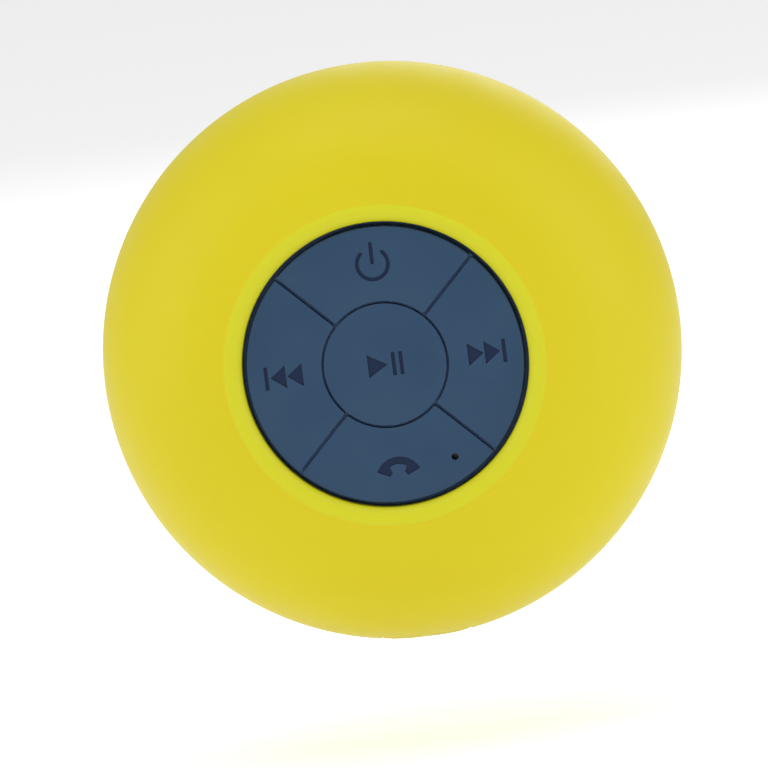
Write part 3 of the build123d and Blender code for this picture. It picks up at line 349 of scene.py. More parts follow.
# ---------------------------------------------------------------- shader groups
class ShaderGroups:
    """The shared shader effects, each built once as a node group."""

    def __init__(self) -> None:
        """Builds every group."""
        self.tone = self._tone_drift()
        self.grain = self._mould_grain()
        self.wear = self._handling_wear()
        self.band = self._axis_band()

    @staticmethod
    def _group(
        name: str, inputs: dict[str, tuple[str, object]], outputs: dict[str, str]
    ) -> bpy.types.NodeTree:
        """Makes an empty group with named sockets.

        Args:
            name: the group's name.
            inputs: socket name to its type and default value.
            outputs: socket name to its type.

        Returns:
            The group, holding only its input and output nodes.
        """
        tree = bpy.data.node_groups.new(name, "ShaderNodeTree")
        for socket_name, (kind, value) in inputs.items():
            socket = tree.interface.new_socket(socket_name, in_out="INPUT", socket_type=kind)
            socket.default_value = value
        for socket_name, kind in outputs.items():
            tree.interface.new_socket(socket_name, in_out="OUTPUT", socket_type=kind)
        tree.nodes.new("NodeGroupInput").name = "in"
        tree.nodes.new("NodeGroupOutput").name = "out"
        return tree

    def _noise(self, tree: bpy.types.NodeTree, detail: float) -> bpy.types.Node:
        """Adds noise in the object's own metres, its scale taken from the group's Scale input.

        Args:
            tree: the group.
            detail: how many finer layers the noise has.

        Returns:
            The noise node.
        """
        place = tree.nodes.new("ShaderNodeTexCoord")
        noise = tree.nodes.new("ShaderNodeTexNoise")
        noise.inputs["Detail"].default_value = detail
        tree.links.new(place.outputs["Object"], noise.inputs["Vector"])
        tree.links.new(tree.nodes["in"].outputs["Scale"], noise.inputs["Scale"])
        return noise

    @staticmethod
    def _spread(
        tree: bpy.types.NodeTree, noise: bpy.types.Node, low: float, high: float
    ) -> bpy.types.Node:
        """Stretches the middle stretch of a noise over the whole range.

        Args:
            tree: the group.
            noise: the noise node.
            low: the noise value that becomes 0.
            high: the noise value that becomes 1.

        Returns:
            The node that puts out the stretched value.
        """
        spread = tree.nodes.new("ShaderNodeMapRange")
        spread.inputs["From Min"].default_value = low
        spread.inputs["From Max"].default_value = high
        tree.links.new(noise.outputs["Fac"], spread.inputs["Value"])
        return spread

    def _tone_drift(self) -> bpy.types.NodeTree:
        """Slow drift between two tones of one colour."""
        tree = self._group(
            "tone_drift",
            {
                "Base": ("NodeSocketColor", (0.5, 0.5, 0.5, 1)),
                "Drift": ("NodeSocketColor", (0.5, 0.5, 0.5, 1)),
                "Scale": ("NodeSocketFloat", 60.0),
            },
            {"Color": "NodeSocketColor"},
        )
        spread = self._spread(tree, self._noise(tree, 3.0), 0.35, 0.65)
        mix = tree.nodes.new("ShaderNodeMix")
        mix.data_type = "RGBA"
        tree.links.new(spread.outputs["Result"], mix.inputs["Factor"])
        tree.links.new(tree.nodes["in"].outputs["Base"], mix.inputs["A"])
        tree.links.new(tree.nodes["in"].outputs["Drift"], mix.inputs["B"])
        tree.links.new(mix.outputs["Result"], tree.nodes["out"].inputs["Color"])
        return tree

    def _mould_grain(self) -> bpy.types.NodeTree:
        """Fine grain that a mould leaves on a surface, as a height."""
        tree = self._group(
            "mould_grain",
            {"Scale": ("NodeSocketFloat", 3000.0)},
            {"Height": "NodeSocketFloat"},
        )
        noise = self._noise(tree, 2.0)
        tree.links.new(noise.outputs["Fac"], tree.nodes["out"].inputs["Height"])
        return tree

    def _handling_wear(self) -> bpy.types.NodeTree:
        """Uneven shine from handling, as a roughness between two values."""
        tree = self._group(
            "handling_wear",
            {
                "Scale": ("NodeSocketFloat", 150.0),
                "Shiny": ("NodeSocketFloat", 0.3),
                "Dull": ("NodeSocketFloat", 0.5),
            },
            {"Roughness": "NodeSocketFloat"},
        )
        spread = self._spread(tree, self._noise(tree, 5.0), 0.3, 0.7)
        tree.links.new(tree.nodes["in"].outputs["Shiny"], spread.inputs["To Min"])
        tree.links.new(tree.nodes["in"].outputs["Dull"], spread.inputs["To Max"])
        tree.links.new(spread.outputs["Result"], tree.nodes["out"].inputs["Roughness"])
        return tree

    def _axis_band(self) -> bpy.types.NodeTree:
        """Mask that is 1 near the Y axis and falls to 0 past a radius."""
        tree = self._group(
            "axis_band",
            {"Radius": ("NodeSocketFloat", 0.02), "Softness": ("NodeSocketFloat", 0.0005)},
            {"Mask": "NodeSocketFloat"},
        )
        place = tree.nodes.new("ShaderNodeTexCoord")
        flatten = tree.nodes.new("ShaderNodeVectorMath")
        flatten.operation = "MULTIPLY"
        flatten.inputs[1].default_value = (1, 0, 1)
        length = tree.nodes.new("ShaderNodeVectorMath")
        length.operation = "LENGTH"
        past = tree.nodes.new("ShaderNodeMath")
        past.operation = "SUBTRACT"
        share = tree.nodes.new("ShaderNodeMath")
        share.operation = "DIVIDE"
        share.use_clamp = True
        tree.links.new(place.outputs["Object"], flatten.inputs[0])
        tree.links.new(flatten.outputs["Vector"], length.inputs[0])
        tree.links.new(tree.nodes["in"].outputs["Radius"], past.inputs[0])
        tree.links.new(length.outputs["Value"], past.inputs[1])
        tree.links.new(past.outputs["Value"], share.inputs[0])
        tree.links.new(tree.nodes["in"].outputs["Softness"], share.inputs[1])
        tree.links.new(share.outputs["Value"], tree.nodes["out"].inputs["Mask"])
        return tree


# ---------------------------------------------------------------- finishes
@dataclass(frozen=True)
class Finish:
    """One finish: a colour that drifts a little, uneven shine and a fine grain.

    The fields named after shader settings are the same all over the surface.
    """

    name: str
    colour: Colour
    drift: Colour
    drift_scale: float = 60.0
    shiny: float = 0.35
    dull: float = 0.5
    wear_scale: float = 150.0
    grain_scale: float = 3000.0
    grain_depth: float = 0.01 * MM
    metallic: float = 0.0
    specular: float = 0.5
    subsurface: float = 0.0
    subsurface_radius: Colour = (0.0, 0.0, 0.0)
    coat: float = 0.0
    sheen: float = 0.0

    def build(self, groups: ShaderGroups) -> bpy.types.Material:
        """Makes the finish's material.

        Args:
            groups: the shared shader effects.

        Returns:
            The material.
        """
        material = bpy.data.materials.new(self.name)
        material.use_nodes = True
        tree = material.node_tree
        surface = tree.nodes["Principled BSDF"]
        surface.inputs["Metallic"].default_value = self.metallic
        surface.inputs["Specular IOR Level"].default_value = self.specular
        surface.inputs["Subsurface Weight"].default_value = self.subsurface
        surface.inputs["Subsurface Radius"].default_value = self.subsurface_radius
        surface.inputs["Subsurface Scale"].default_value = MM
        surface.inputs["Coat Weight"].default_value = self.coat
        surface.inputs["Sheen Weight"].default_value = self.sheen
        tone = self._place(tree, groups.tone, {"Scale": self.drift_scale})
        tone.inputs["Base"].default_value = (*self.colour, 1)
        tone.inputs["Drift"].default_value = (*self.drift, 1)
        wear = self._place(
            tree, groups.wear, {"Scale": self.wear_scale, "Shiny": self.shiny, "Dull": self.dull}
        )
        grain = self._place(tree, groups.grain, {"Scale": self.grain_scale})
        bump = tree.nodes.new("ShaderNodeBump")
        bump.inputs["Distance"].default_value = self.grain_depth
        tree.links.new(self.colour_output(tree, tone, groups), surface.inputs["Base Color"])
        tree.links.new(wear.outputs["Roughness"], surface.inputs["Roughness"])
        tree.links.new(grain.outputs["Height"], bump.inputs["Height"])
        tree.links.new(bump.outputs["Normal"], surface.inputs["Normal"])
        return material

    def colour_output(
        self, tree: bpy.types.NodeTree, tone: bpy.types.Node, groups: ShaderGroups
    ) -> bpy.types.NodeSocket:
        """Where the base colour comes from: the drifting tone itself."""
        return tone.outputs["Color"]

    @staticmethod
    def _place(
        tree: bpy.types.NodeTree, group: bpy.types.NodeTree, values: dict[str, float]
    ) -> bpy.types.Node:
        """Places a group in a material with its own values.

        Args:
            tree: the material's nodes.
            group: the group.
            values: input name to its value here.

        Returns:
            The placed node.
        """
        node = tree.nodes.new("ShaderNodeGroup")
        node.node_tree = group
        for name, value in values.items():
            node.inputs[name].default_value = value
        return node

    @staticmethod
    def _mix(
        tree: bpy.types.NodeTree,
        factor: bpy.types.NodeSocket,
        tone: bpy.types.Node,
        colour: Colour,
    ) -> bpy.types.NodeSocket:
        """Goes from the tone to a second colour as the factor goes from 0 to 1.

        Args:
            tree: the material's nodes.
            factor: the socket that puts out the factor.
            tone: the node that gives the tone.
            colour: the second colour.

        Returns:
            The socket that puts out the mixed colour.
        """
        mix = tree.nodes.new("ShaderNodeMix")
        mix.data_type = "RGBA"
        mix.inputs["B"].default_value = (*colour, 1)
        tree.links.new(factor, mix.inputs["Factor"])
        tree.links.new(tone.outputs["Color"], mix.inputs["A"])
        return mix.outputs["Result"]


@dataclass(frozen=True)
class SunkFinish(Finish):
    """A finish whose floors below a level are a second colour, as in sunk icons."""

    sunk_colour: Colour = (0.0, 0.0, 0.0)
    sunk_y: float = 0.0
    sunk_step: float = 0.04 * MM

    def colour_output(
        self, tree: bpy.types.NodeTree, tone: bpy.types.Node, groups: ShaderGroups
    ) -> bpy.types.NodeSocket:
        """Where the base colour comes from: the tone, or the sunk colour behind the level.

        Args:
            tree: the material's nodes.
            tone: the node that gives the tone.
            groups: the shared shader effects; not used here.

        Returns:
            The socket that puts out the colour.
        """
        place = tree.nodes.new("ShaderNodeTexCoord")
        parts = tree.nodes.new("ShaderNodeSeparateXYZ")
        step = tree.nodes.new("ShaderNodeMapRange")
        step.inputs["From Min"].default_value = self.sunk_y - self.sunk_step
        step.inputs["From Max"].default_value = self.sunk_y
        tree.links.new(place.outputs["Object"], parts.inputs["Vector"])
        tree.links.new(parts.outputs["Y"], step.inputs["Value"])
        return self._mix(tree, step.outputs["Result"], tone, self.sunk_colour)


@dataclass(frozen=True)
class PaintedRingLightFinish(Finish):
    """A finish whose band within a radius of the Y axis is a lighter, greener tone: a painted
    highlight where the raised ring's slope catches the light.
    """

    # painted highlight: the ring's lighter, greener tone stands in for light falling on its slope
    ring_light_colour: Colour = (0.0, 0.0, 0.0)
    ring_radius: float = 0.0
    softness: float = 0.35 * MM

    def colour_output(
        self, tree: bpy.types.NodeTree, tone: bpy.types.Node, groups: ShaderGroups
    ) -> bpy.types.NodeSocket:
        """Where the base colour comes from: the tone, or the painted ring highlight within the
        radius.

        Args:
            tree: the material's nodes.
            tone: the node that gives the tone.
            groups: the shared shader effects.

        Returns:
            The socket that puts out the colour.
        """
        band = self._place(
            tree, groups.band, {"Radius": self.ring_radius, "Softness": self.softness}
        )
        return self._mix(tree, band.outputs["Mask"], tone, self.ring_light_colour)


class FinishBook:
    """Every finish of the speaker, each made into a material the first time it is asked for."""

    def __init__(self, groups: ShaderGroups, finishes: Iterable[Finish]) -> None:
        """Keeps the finishes under their names.

        Args:
            groups: the shared shader effects.
            finishes: every finish.
        """
        self._groups = groups
        self._finishes = {finish.name: finish for finish in finishes}
        self._made: dict[str, bpy.types.Material] = {}

    def material(self, name: str) -> bpy.types.Material:
        """The material of a finish."""
        if name not in self._made:
            self._made[name] = self._finishes[name].build(self._groups)
        return self._made[name]

    def dress(self, piece: bpy.types.Object, name: str) -> None:
        """Gives a piece one finish all over."""
        piece.data.materials.clear()
        piece.data.materials.append(self.material(name))

    def dress_nodes(self, finishes: dict[str, str]) -> None:
        """Gives carried-over CAD nodes their finishes.

        Args:
            finishes: node name to the name of its finish.
        """
        for node, name in finishes.items():
            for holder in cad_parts[node].material_slots:
                holder.material = self.material(name)


# ---------------------------------------------------------------- the body's section
@dataclass
class BodySection:
    """The rounded section that the jacket and the port flap share."""

    radius: float = field(default_factory=lambda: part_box("silicone_jacket")[1].x)
    shoulder: float = 24.0 * MM
    equator_y: float = -34.0 * MM
    crest_rise: float = 0.2 * MM
    lip_radius: float = 34.0 * MM
    back_rise: float = 16.7 * MM
    front_y: float = field(default_factory=lambda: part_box("silicone_jacket")[0].y)

    @property
    def dome_rise(self) -> float:
        """Height of the front dome above the equator."""
        return self.equator_y - self.front_y - self.crest_rise

    def reach(self, inset: float) -> float:
        """Half-width of the rounded part beyond the shoulder."""
        return self.radius - inset - self.shoulder

    def front(self, inset: float, from_radius: float, steps: int) -> list[Point]:
        """Points of the front quarter, from a radius near the ring out to the equator.

        Args:
            inset: how far inside the outer skin.
            from_radius: the radius at which it starts.
            steps: number of spans.

        Returns:
            (radius, y) points in order.
        """
        start = math.degrees(math.acos((from_radius - self.shoulder) / self.reach(inset)))
        centre = (self.shoulder, self.equator_y)
        return ellipse_arc(centre, self.reach(inset), self.dome_rise - inset, -start, 0, steps)

    def back(self, inset: float, to_radius: float, steps: int) -> list[Point]:
        """Points of the rear quarter, from the equator back to a radius.

        Args:
            inset: how far inside the outer skin.
            to_radius: the radius at which it ends.
            steps: number of spans.

        Returns:
            (radius, y) points in order.
        """
        end = math.degrees(math.acos((to_radius - self.shoulder) / self.reach(inset)))
        centre = (self.shoulder, self.equator_y)
        return ellipse_arc(centre, self.reach(inset), self.back_rise - inset, 0, end, steps)

    def radius_at(self, y: float) -> float:
        """Outer radius of the section at a place along the axis."""
        rise = self.dome_rise if y < self.equator_y else self.back_rise
        share = (y - self.equator_y) / rise
        return self.shoulder + self.reach(0) * math.sqrt(1 - share**2)


# ---------------------------------------------------------------- jacket and flap
@dataclass
class Port:
    """Sizes of the charging port at the bottom of the body."""

    y: float = -35.5 * MM
    flap_width: float = 13.0 * MM
    flap_height: float = 9.0 * MM
    flap_corner: float = 1.6 * MM
    flap_gap: float = 0.3 * MM
    flap_thickness: float = 1.4 * MM
    seat_gap: float = 0.15 * MM
    well_width: float = 11.4 * MM
    well_height: float = 7.4 * MM
    well_corner: float = 1.2 * MM
    rim_wall: float = 0.9 * MM


@dataclass
class Jacket:
    """The silicone jacket, with its raised ring round the keypad and the port's recess."""

    section: BodySection
    port: Port
    wall: float = 2.4 * MM
    crest_radius: float = 23.25 * MM
    crest_width: float = 0.6 * MM
    slope: float = 1.6 * MM
    opening_radius: float = 21.0 * MM
    plate_y: float = -51.9 * MM
    lip_round: float = 0.7 * MM
    slope_round: float = 0.12 * MM
    crest_round: float = 0.15 * MM
    well_cut: Point = (-50 * MM, -38 * MM)
    segments: int = 256

    def profile(self) -> list[Point]:
        """The jacket's closed section.

        Returns:
            (radius, y) points, from the ring's crest round the outside and back along the inside.
        """
        body = self.section
        outer = body.front(0, self.crest_radius + self.crest_width, 44)
        outer += body.back(0, body.lip_radius, 30)[1:]
        inner_end = (self.plate_y - body.equator_y) / (body.dome_rise - self.wall)
        inner_radius = body.shoulder + body.reach(self.wall) * math.sqrt(1 - inner_end**2)
        inner = body.back(self.wall, body.lip_radius, 24)[::-1]
        inner += body.front(self.wall, inner_radius, 30)[::-1][1:]
        lip = soft_corner(outer[-2], outer[-1], inner[0], self.lip_round)
        centre = (self.crest_radius, body.front_y + self.slope)
        ring = [(self.opening_radius, self.plate_y)]
        face_width = self.crest_radius - self.opening_radius
        ring += ellipse_arc(centre, face_width, self.slope, 180, 270, 14)[:-1]
        crest = (self.crest_radius, body.front_y)
        ring += soft_corner(ring[-1], crest, outer[0], self.slope_round)
        ring += soft_corner(crest, outer[0], outer[1], self.crest_round)
        return ring + outer[1:-2] + lip + inner[1:]

    def build(self, book: FinishBook) -> None:
        """Builds and dresses the jacket.

        Args:
            book: the finishes.
        """
        blank = lathe(self.profile(), self.segments, "silicone_jacket_mesh")
        port = self.port
        seat_top = port.flap_thickness + port.seat_gap
        seat = skin_patch(
            self.section,
            port,
            port.flap_width + 2 * port.flap_gap,
            port.flap_height + 2 * port.flap_gap,
            (seat_top, -2 * seat_top),
        )
        well = prism(port, port.well_width, port.well_height, port.well_corner, self.well_cut)
        mesh = cut(blank, [seat, well])
        mesh.name = "silicone_jacket_mesh"
        piece = add_piece("jacket", mesh, "speaker", ["silicone_jacket"])
        book.dress(piece, "yellow_silicone")


def prism(
    port: Port, width: float, height: float, corner: float, span: Point
) -> bpy.types.Mesh:
    """An upright block with round corners, centred on the port.

    Args:
        port: where it stands.
        width: size along X.
        height: size along Y.
        corner: radius of its corners.
        span: lowest and highest Z.

    Returns:
        The block's closed mesh.
    """
    bm = bmesh.new()
    outline = rounded_rectangle(width, height, corner)
    low = [bm.verts.new((x, port.y + y, span[0])) for x, y in outline]
    high = [bm.verts.new((x, port.y + y, span[1])) for x, y in outline]
    bridge(bm, low, high)
    bm.faces.new(low)
    bm.faces.new(high)
    return mesh_from(bm, "prism")


PATCH_RINGS = (0.92, 0.75, 0.55, 0.35, 0.18)      # inner rings of a patch, from its middle out


def skin_patch(
    section: BodySection,
    port: Port,
    width: float,
    height: float,
    depths: Point,
    edge: float = 0.0,
) -> bpy.types.Mesh:
    """A patch that follows the body's skin at the bottom, between two depths below it.

    Args:
        section: the body's section.
        port: where the patch lies.
        width: size along X.
        height: size along Y.
        depths: depth of its inner and of its outer face below the skin.
        edge: radius of its rounded outer edge.

    Returns:
        The patch's closed mesh.
    """
    bm = bmesh.new()
    base = rounded_rectangle(width, height, port.flap_corner, 10)

    def loop(inset: float, depth: float) -> list[bmesh.types.BMVert]:
        """One ring of the patch, drawn in from its edge and set below the skin."""
        scale_x = 1 - 2 * inset / width
        scale_y = 1 - 2 * inset / height
        ring = []
        for x, y in base:
            px = x * scale_x
            py = port.y + y * scale_y
            skin = section.radius_at(py) - depth
            ring.append(bm.verts.new((px, py, -math.sqrt(skin**2 - px**2))))
        return ring

    inner, outer = depths
    insets = [height / 2 * share for share in PATCH_RINGS]
    rings = [loop(inset, inner) for inset in insets]
    rings.append(loop(0, inner))
    turns = 6 if edge else 0
    for i in range(turns + 1):
        angle = math.radians(90 * i / turns) if turns else math.radians(90)
        drawn_in = edge * (1 - math.cos(angle))
        rings.append(loop(drawn_in, outer + edge * (1 - math.sin(angle))))
    rings += [loop(inset, outer) for inset in reversed(insets)]
    for low, high in zip(rings, rings[1:]):
        bridge(bm, low, high)
    bm.faces.new(rings[0])
    bm.faces.new(rings[-1])
    return mesh_from(bm, "skin_patch")


@dataclass
class PortFlap:
    """The flap over the charging port, with the rim that plugs the well."""

    section: BodySection
    port: Port
    edge: float = 0.3 * MM

    def build(self, book: FinishBook) -> None:
        """Builds and dresses the flap.

        Args:
            book: the finishes.
        """
        port = self.port
        depths = (port.flap_thickness, 0.0)
        skin = skin_patch(
            self.section, port, port.flap_width, port.flap_height, depths, self.edge
        )
        bm = bmesh.new()
        bm.from_mesh(skin)
        self._rim(bm)
        mesh = mesh_from(bm, "charging_flap_mesh")
        piece = add_piece("charging_flap", mesh, "flap", ["port_flap"])
        book.dress(piece, "yellow_silicone")

    def _rim(self, bm: bmesh.types.BMesh) -> None:
        """Adds the rim, a closed wall standing on the flap's inner face.

        Args:
            bm: the working mesh that the rim goes into.
        """
        port = self.port
        low_z = -self.section.radius + port.flap_thickness / 2
        high_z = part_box("port_flap")[1].z
        outlines = []
        for inset in (0.0, port.rim_wall):
            width = port.well_width - 2 * port.flap_gap - 2 * inset
            height = port.well_height - 2 * port.flap_gap - 2 * inset
            outlines.append(rounded_rectangle(width, height, port.well_corner - inset / 2))
        loops = []
        for outline, z in ((0, low_z), (0, high_z), (1, high_z), (1, low_z)):
            loops.append([bm.verts.new((x, port.y + y, z)) for x, y in outlines[outline]])
        for near, far in zip(loops, loops[1:] + loops[:1]):
            bridge(bm, near, far)


# ---------------------------------------------------------------- keypad
class KeyName(Enum):
    """The five keys, with the direction each lies in, in degrees; the centre key has none."""

    PLAY = None
    NEXT = 0.0
    POWER = 90.0
    PREVIOUS = 180.0
    PHONE = 270.0

    @property
    def word(self) -> str:
        """The name as the frame spells it."""
        return self.name.lower()


@dataclass
class Icons:
    """Outlines of the keys' sunk icons."""

    circle: float = 14.9 * MM
    stroke: float = 0.55 * MM
    ring_radius: float = 2.27 * MM
    height: float = 3.4 * MM

    def outlines(self, key: KeyName) -> list[list[Point]]:
        """The outlines sunk in one key.

        Args:
            key: which key.

        Returns:
            The closed (x, z) outlines.
        """
        drawings: dict[KeyName, Callable[[], list[list[Point]]]] = {
            KeyName.PLAY: self._play,
            KeyName.NEXT: lambda: self._skip(1),
            KeyName.PREVIOUS: lambda: self._skip(-1),
            KeyName.POWER: self._power,
            KeyName.PHONE: self._phone,
        }
        return drawings[key]()

    def _bar(self, x: float, z: float, height: float) -> list[Point]:
        """Upright bar with round ends.

        Args:
            x: its middle along X.
            z: its middle along Z.
            height: its height, the ends included.

        Returns:
            The outline.
        """
        half = self.stroke / 2
        top = arc_points((x, z + height / 2 - half), half, 0, 180, 8)
        bottom = arc_points((x, z - height / 2 + half), half, 180, 360, 8)
        return top + bottom

    def _block(self, x: float, z: float, width: float, height: float) -> list[Point]:
        """Upright bar with square ends.

        Args:
            x: its middle along X.
            z: its middle along Z.
            width: its width.
            height: its height.

        Returns:
            The outline.
        """
        return [
            (x - width / 2, z - height / 2),
            (x + width / 2, z - height / 2),
            (x + width / 2, z + height / 2),
            (x - width / 2, z + height / 2),
        ]

    def _power(self) -> list[list[Point]]:
        """Ring open at the top, with a bar through the opening."""
        half = self.stroke / 2
        centre = (0.0, self.circle)
        first, last = 135, 405
        outer = arc_points(centre, self.ring_radius + half, first, last, 56)
        end = polar(centre, self.ring_radius, last)
        start = polar(centre, self.ring_radius, first)
        ring = outer
        ring += arc_points(end, half, last, last + 180, 6)[1:-1]
        ring += arc_points(centre, self.ring_radius - half, last, first, 56)
        ring += arc_points(start, half, first + 180, first + 360, 6)[1:-1]
        return [ring, self._bar(0, self.circle + 0.7 * self.ring_radius, 1.45 * self.ring_radius)]

    def _skip(self, way: int) -> list[list[Point]]:
        """Bar and two solid triangles that point one way along X.

        Args:
            way: 1 towards +X, -1 towards -X.

        Returns:
            The three outlines.
        """
        half = self.height / 2
        x = way * self.circle
        shapes = [self._block(x + way * 1.55 * half, 0, self.stroke, self.height)]
        for start in (-1.6 * half, -0.15 * half):
            shapes.append(
                [
                    (x + way * start, -half),
                    (x + way * start, half),
                    (x + way * (start + 1.35 * half), 0.0),
                ]
            )
        return shapes

    def _play(self) -> list[list[Point]]:
        """Solid triangle with two bars beside it."""
        half = self.height / 2
        triangle = [(-1.5 * half, -half), (-1.5 * half, half), (0.2 * half, 0.0)]
        bars = [self._block(x * half, 0, self.stroke, self.height) for x in (0.75, 1.4)]
        return [triangle, *bars]

    def _phone(self) -> list[list[Point]]:
        """Telephone handset lying level, its two ends turned down."""
        half = self.height / 2
        centre = (0.0, -self.circle - 1.3 * half)
        thin = 1.4 * half
        thick = 0.85 * half
        outline = arc_points(centre, 2.05 * half, 25, 155, 26)
        outline += arc_points(centre, thick, 155, 128, 5)
        outline += arc_points(centre, thin, 122, 58, 14)
        outline += arc_points(centre, thick, 52, 25, 5)
        return [outline]


@dataclass
class Keypad:
    """The five keys: flat caps parted by narrow grooves, with a rounded outer rim."""

    icons: Icons
    radius: float = field(default_factory=lambda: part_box("key_next")[1].x)
    centre_radius: float = field(default_factory=lambda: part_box("key_play")[1].x)
    circle_groove: float = 0.32 * MM
    radial_groove: float = 0.43 * MM
    thickness: float = 1.5 * MM
    rim_round: float = 0.4 * MM
    groove_round: float = 0.14 * MM
    corner: float = 0.4 * MM
    icon_depth: float = 0.2 * MM
    pinhole_radius: float = 0.52 * MM
    pinhole_circle: float = 16.9 * MM
    pinhole_angle: float = -60.0
    stem_radius: float = 1.5 * MM
    stem_circle: float = 14.0 * MM
    stem_sink: float = 0.3 * MM
    stem_round: float = 0.2 * MM
    levels: int = 7
    side_spans: int = 12
    corner_spans: int = 6

    def _side(self, inset: float, sign: int, radius: float) -> Point:
        """Where a radius meets a key's straight side, in the key's own turned axes.

        Args:
            inset: how far in from the groove.
            sign: which of the two sides, 1 or -1.
            radius: the radius.

        Returns:
            The point.
        """
        offset = self.radial_groove / 2 + inset
        turn = math.radians(45) - math.asin(offset / radius)
        return (radius * math.cos(turn), sign * radius * math.sin(turn))

    def outline(
        self, key: KeyName, rim_inset: float, inset: float
    ) -> list[tuple[float, float, float]]:
        """A key's outline drawn in from its edges.

        Args:
            key: which key.
            rim_inset: how far in from the keypad's rim.
            inset: how far in from the grooves.

        Returns:
            (x, z, share) points, where share is 1 on the rim and 0 on the grooves.
        """
        if key is KeyName.PLAY:
            ring = arc_points((0, 0), self.centre_radius - inset, 0, 360, 120)[:-1]
            return [(x, z, 0.0) for x, z in ring]
        outer = self.radius - rim_inset
        inner = self.centre_radius + self.circle_groove + inset
        ends = ((-1, outer), (1, outer), (1, inner), (-1, inner))
        corners = [self._side(inset, sign, radius) for sign, radius in ends]
        half_outer = math.degrees(math.atan2(corners[1][1], corners[1][0]))
        half_inner = math.degrees(math.atan2(corners[2][1], corners[2][0]))
        step_outer = math.degrees(self.corner / outer)
        step_inner = math.degrees(self.corner / inner)
        rim = arc_points((0, 0), outer, -half_outer + step_outer, half_outer - step_outer, 64)
        hub = arc_points((0, 0), inner, half_inner - step_inner, -half_inner + step_inner, 40)
        sides = {}
        for sign in (-1, 1):
            near = self._side(inset, sign, inner + self.corner)
            far = self._side(inset, sign, outer - self.corner)
            run, climb = far[0] - near[0], far[1] - near[1]
            spans = self.side_spans
            sides[sign] = [
                (near[0] + run * i / spans, near[1] + climb * i / spans) for i in range(spans + 1)
            ]
        turned: list[tuple[float, float, float]] = [(x, z, 1.0) for x, z in rim]
        turned += self._corner(rim[-1], corners[1], sides[1][-1], 1.0, 0.0)
        turned += [(x, z, 0.0) for x, z in reversed(sides[1])]
        turned += self._corner(sides[1][0], corners[2], hub[0], 0.0, 0.0)
        turned += [(x, z, 0.0) for x, z in hub]
        turned += self._corner(hub[-1], corners[3], sides[-1][0], 0.0, 0.0)
        turned += [(x, z, 0.0) for x, z in sides[-1]]
        turned += self._corner(sides[-1][-1], corners[0], rim[0], 0.0, 1.0)
        angle = math.radians(key.value)
        cos, sin = math.cos(angle), math.sin(angle)
        return [(x * cos - z * sin, x * sin + z * cos, share) for x, z, share in turned]

    def _corner(
        self, start: Point, tip: Point, end: Point, first_share: float, last_share: float
    ) -> list[tuple[float, float, float]]:
        """The points strictly inside a rounded corner, with their shares.

        Args:
            start: where the rounding starts.
            tip: the sharp corner.
            end: where the rounding ends.
            first_share: the share at its start.
            last_share: the share at its end.

        Returns:
            (x, z, share) points in order, without the two ends.
        """
        points = []
        for i in range(1, self.corner_spans):
            t = i / self.corner_spans
            point = bend(Vector(start), Vector(tip), Vector(end), t)
            points.append((point.x, point.y, first_share + (last_share - first_share) * t))
        return points

    def build_key(self, key: KeyName, book: FinishBook) -> None:
        """Builds and dresses one key.

        Args:
            key: which key.
            book: the finishes.
        """
        low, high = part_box(f"key_{key.word}")
        face_y = low.y
        back_y = face_y + self.thickness
        bm = bmesh.new()
        rings = []
        base = self.outline(key, 0, 0)
        rings.append([bm.verts.new((x, back_y, z)) for x, z, _ in base])
        for level in range(self.levels + 1):
            angle = math.radians(90 * level / self.levels)
            drawn_in = 1 - math.cos(angle)
            points = self.outline(key, self.rim_round * drawn_in, self.groove_round * drawn_in)
            ring = []
            for x, z, share in points:
                rounding = self.groove_round + (self.rim_round - self.groove_round) * share
                level_y = face_y + rounding * (1 - math.sin(angle))
                ring.append(bm.verts.new((x, level_y, z)))
            rings.append(ring)
        for near, far in zip(rings, rings[1:]):
            bridge(bm, near, far)
        holes = [self._pinhole()] if key is KeyName.PHONE else []
        flat = [(v.co.x, v.co.z) for v in rings[-1]]
        flat_face(bm, flat, face_y, self.icons.outlines(key), face_y + self.icon_depth, holes)
        flat_face(bm, [(x, z) for x, z, _ in base], back_y, holes=holes)
        for hole in holes:
            wall(bm, hole, face_y, back_y)
        mesh = mesh_from(bm, f"{key.word}_key_mesh")
        self._add_stem(mesh, key, back_y, high.y)
        piece = add_piece(
            f"{key.word}_key_cap", mesh, f"{key.word}_key", [f"key_{key.word}"]
        )
        book.dress(piece, "slate_keys")

    def _pinhole(self) -> list[Point]:
        """Outline of the microphone's hole."""
        centre = polar((0, 0), self.pinhole_circle, self.pinhole_angle)
        return arc_points(centre, self.pinhole_radius, 0, 360, 28)[:-1]

    def _add_stem(
        self, mesh: bpy.types.Mesh, key: KeyName, near_y: float, far_y: float
    ) -> None:
        """Adds the stem that reaches from the cap back to the switch.

        Args:
            mesh: the cap, which the stem is added to.
            key: which key it is.
            near_y: the cap's back.
            far_y: the stem's end.
        """
        circle = 0 if key is KeyName.PLAY else self.stem_circle
        centre = polar((0, 0), circle, key.value or 0)
        bm = bmesh.new()
        bm.from_mesh(mesh)
        ring = arc_points(centre, self.stem_radius, 0, 360, 32)[:-1]
        tip = arc_points(centre, self.stem_radius - self.stem_round, 0, 360, 32)[:-1]
        loops = [
            [bm.verts.new((x, near_y - self.stem_sink, z)) for x, z in ring],
            [bm.verts.new((x, far_y - self.stem_round, z)) for x, z in ring],
            [bm.verts.new((x, far_y, z)) for x, z in tip],
        ]
        for near, far in zip(loops, loops[1:]):
            bridge(bm, near, far)
        bm.faces.new(loops[0])
        bm.faces.new(loops[-1])
        bmesh.ops.recalc_face_normals(bm, faces=bm.faces)
        bm.to_mesh(mesh)
        bm.free()

    def build(self, book: FinishBook) -> None:
        """Builds every key, and dresses the membrane below them.

        Args:
            book: the finishes.
        """
        for key in KeyName:
            self.build_key(key, book)
        book.dress_nodes({"keypad_membrane": "groove_silicone"})


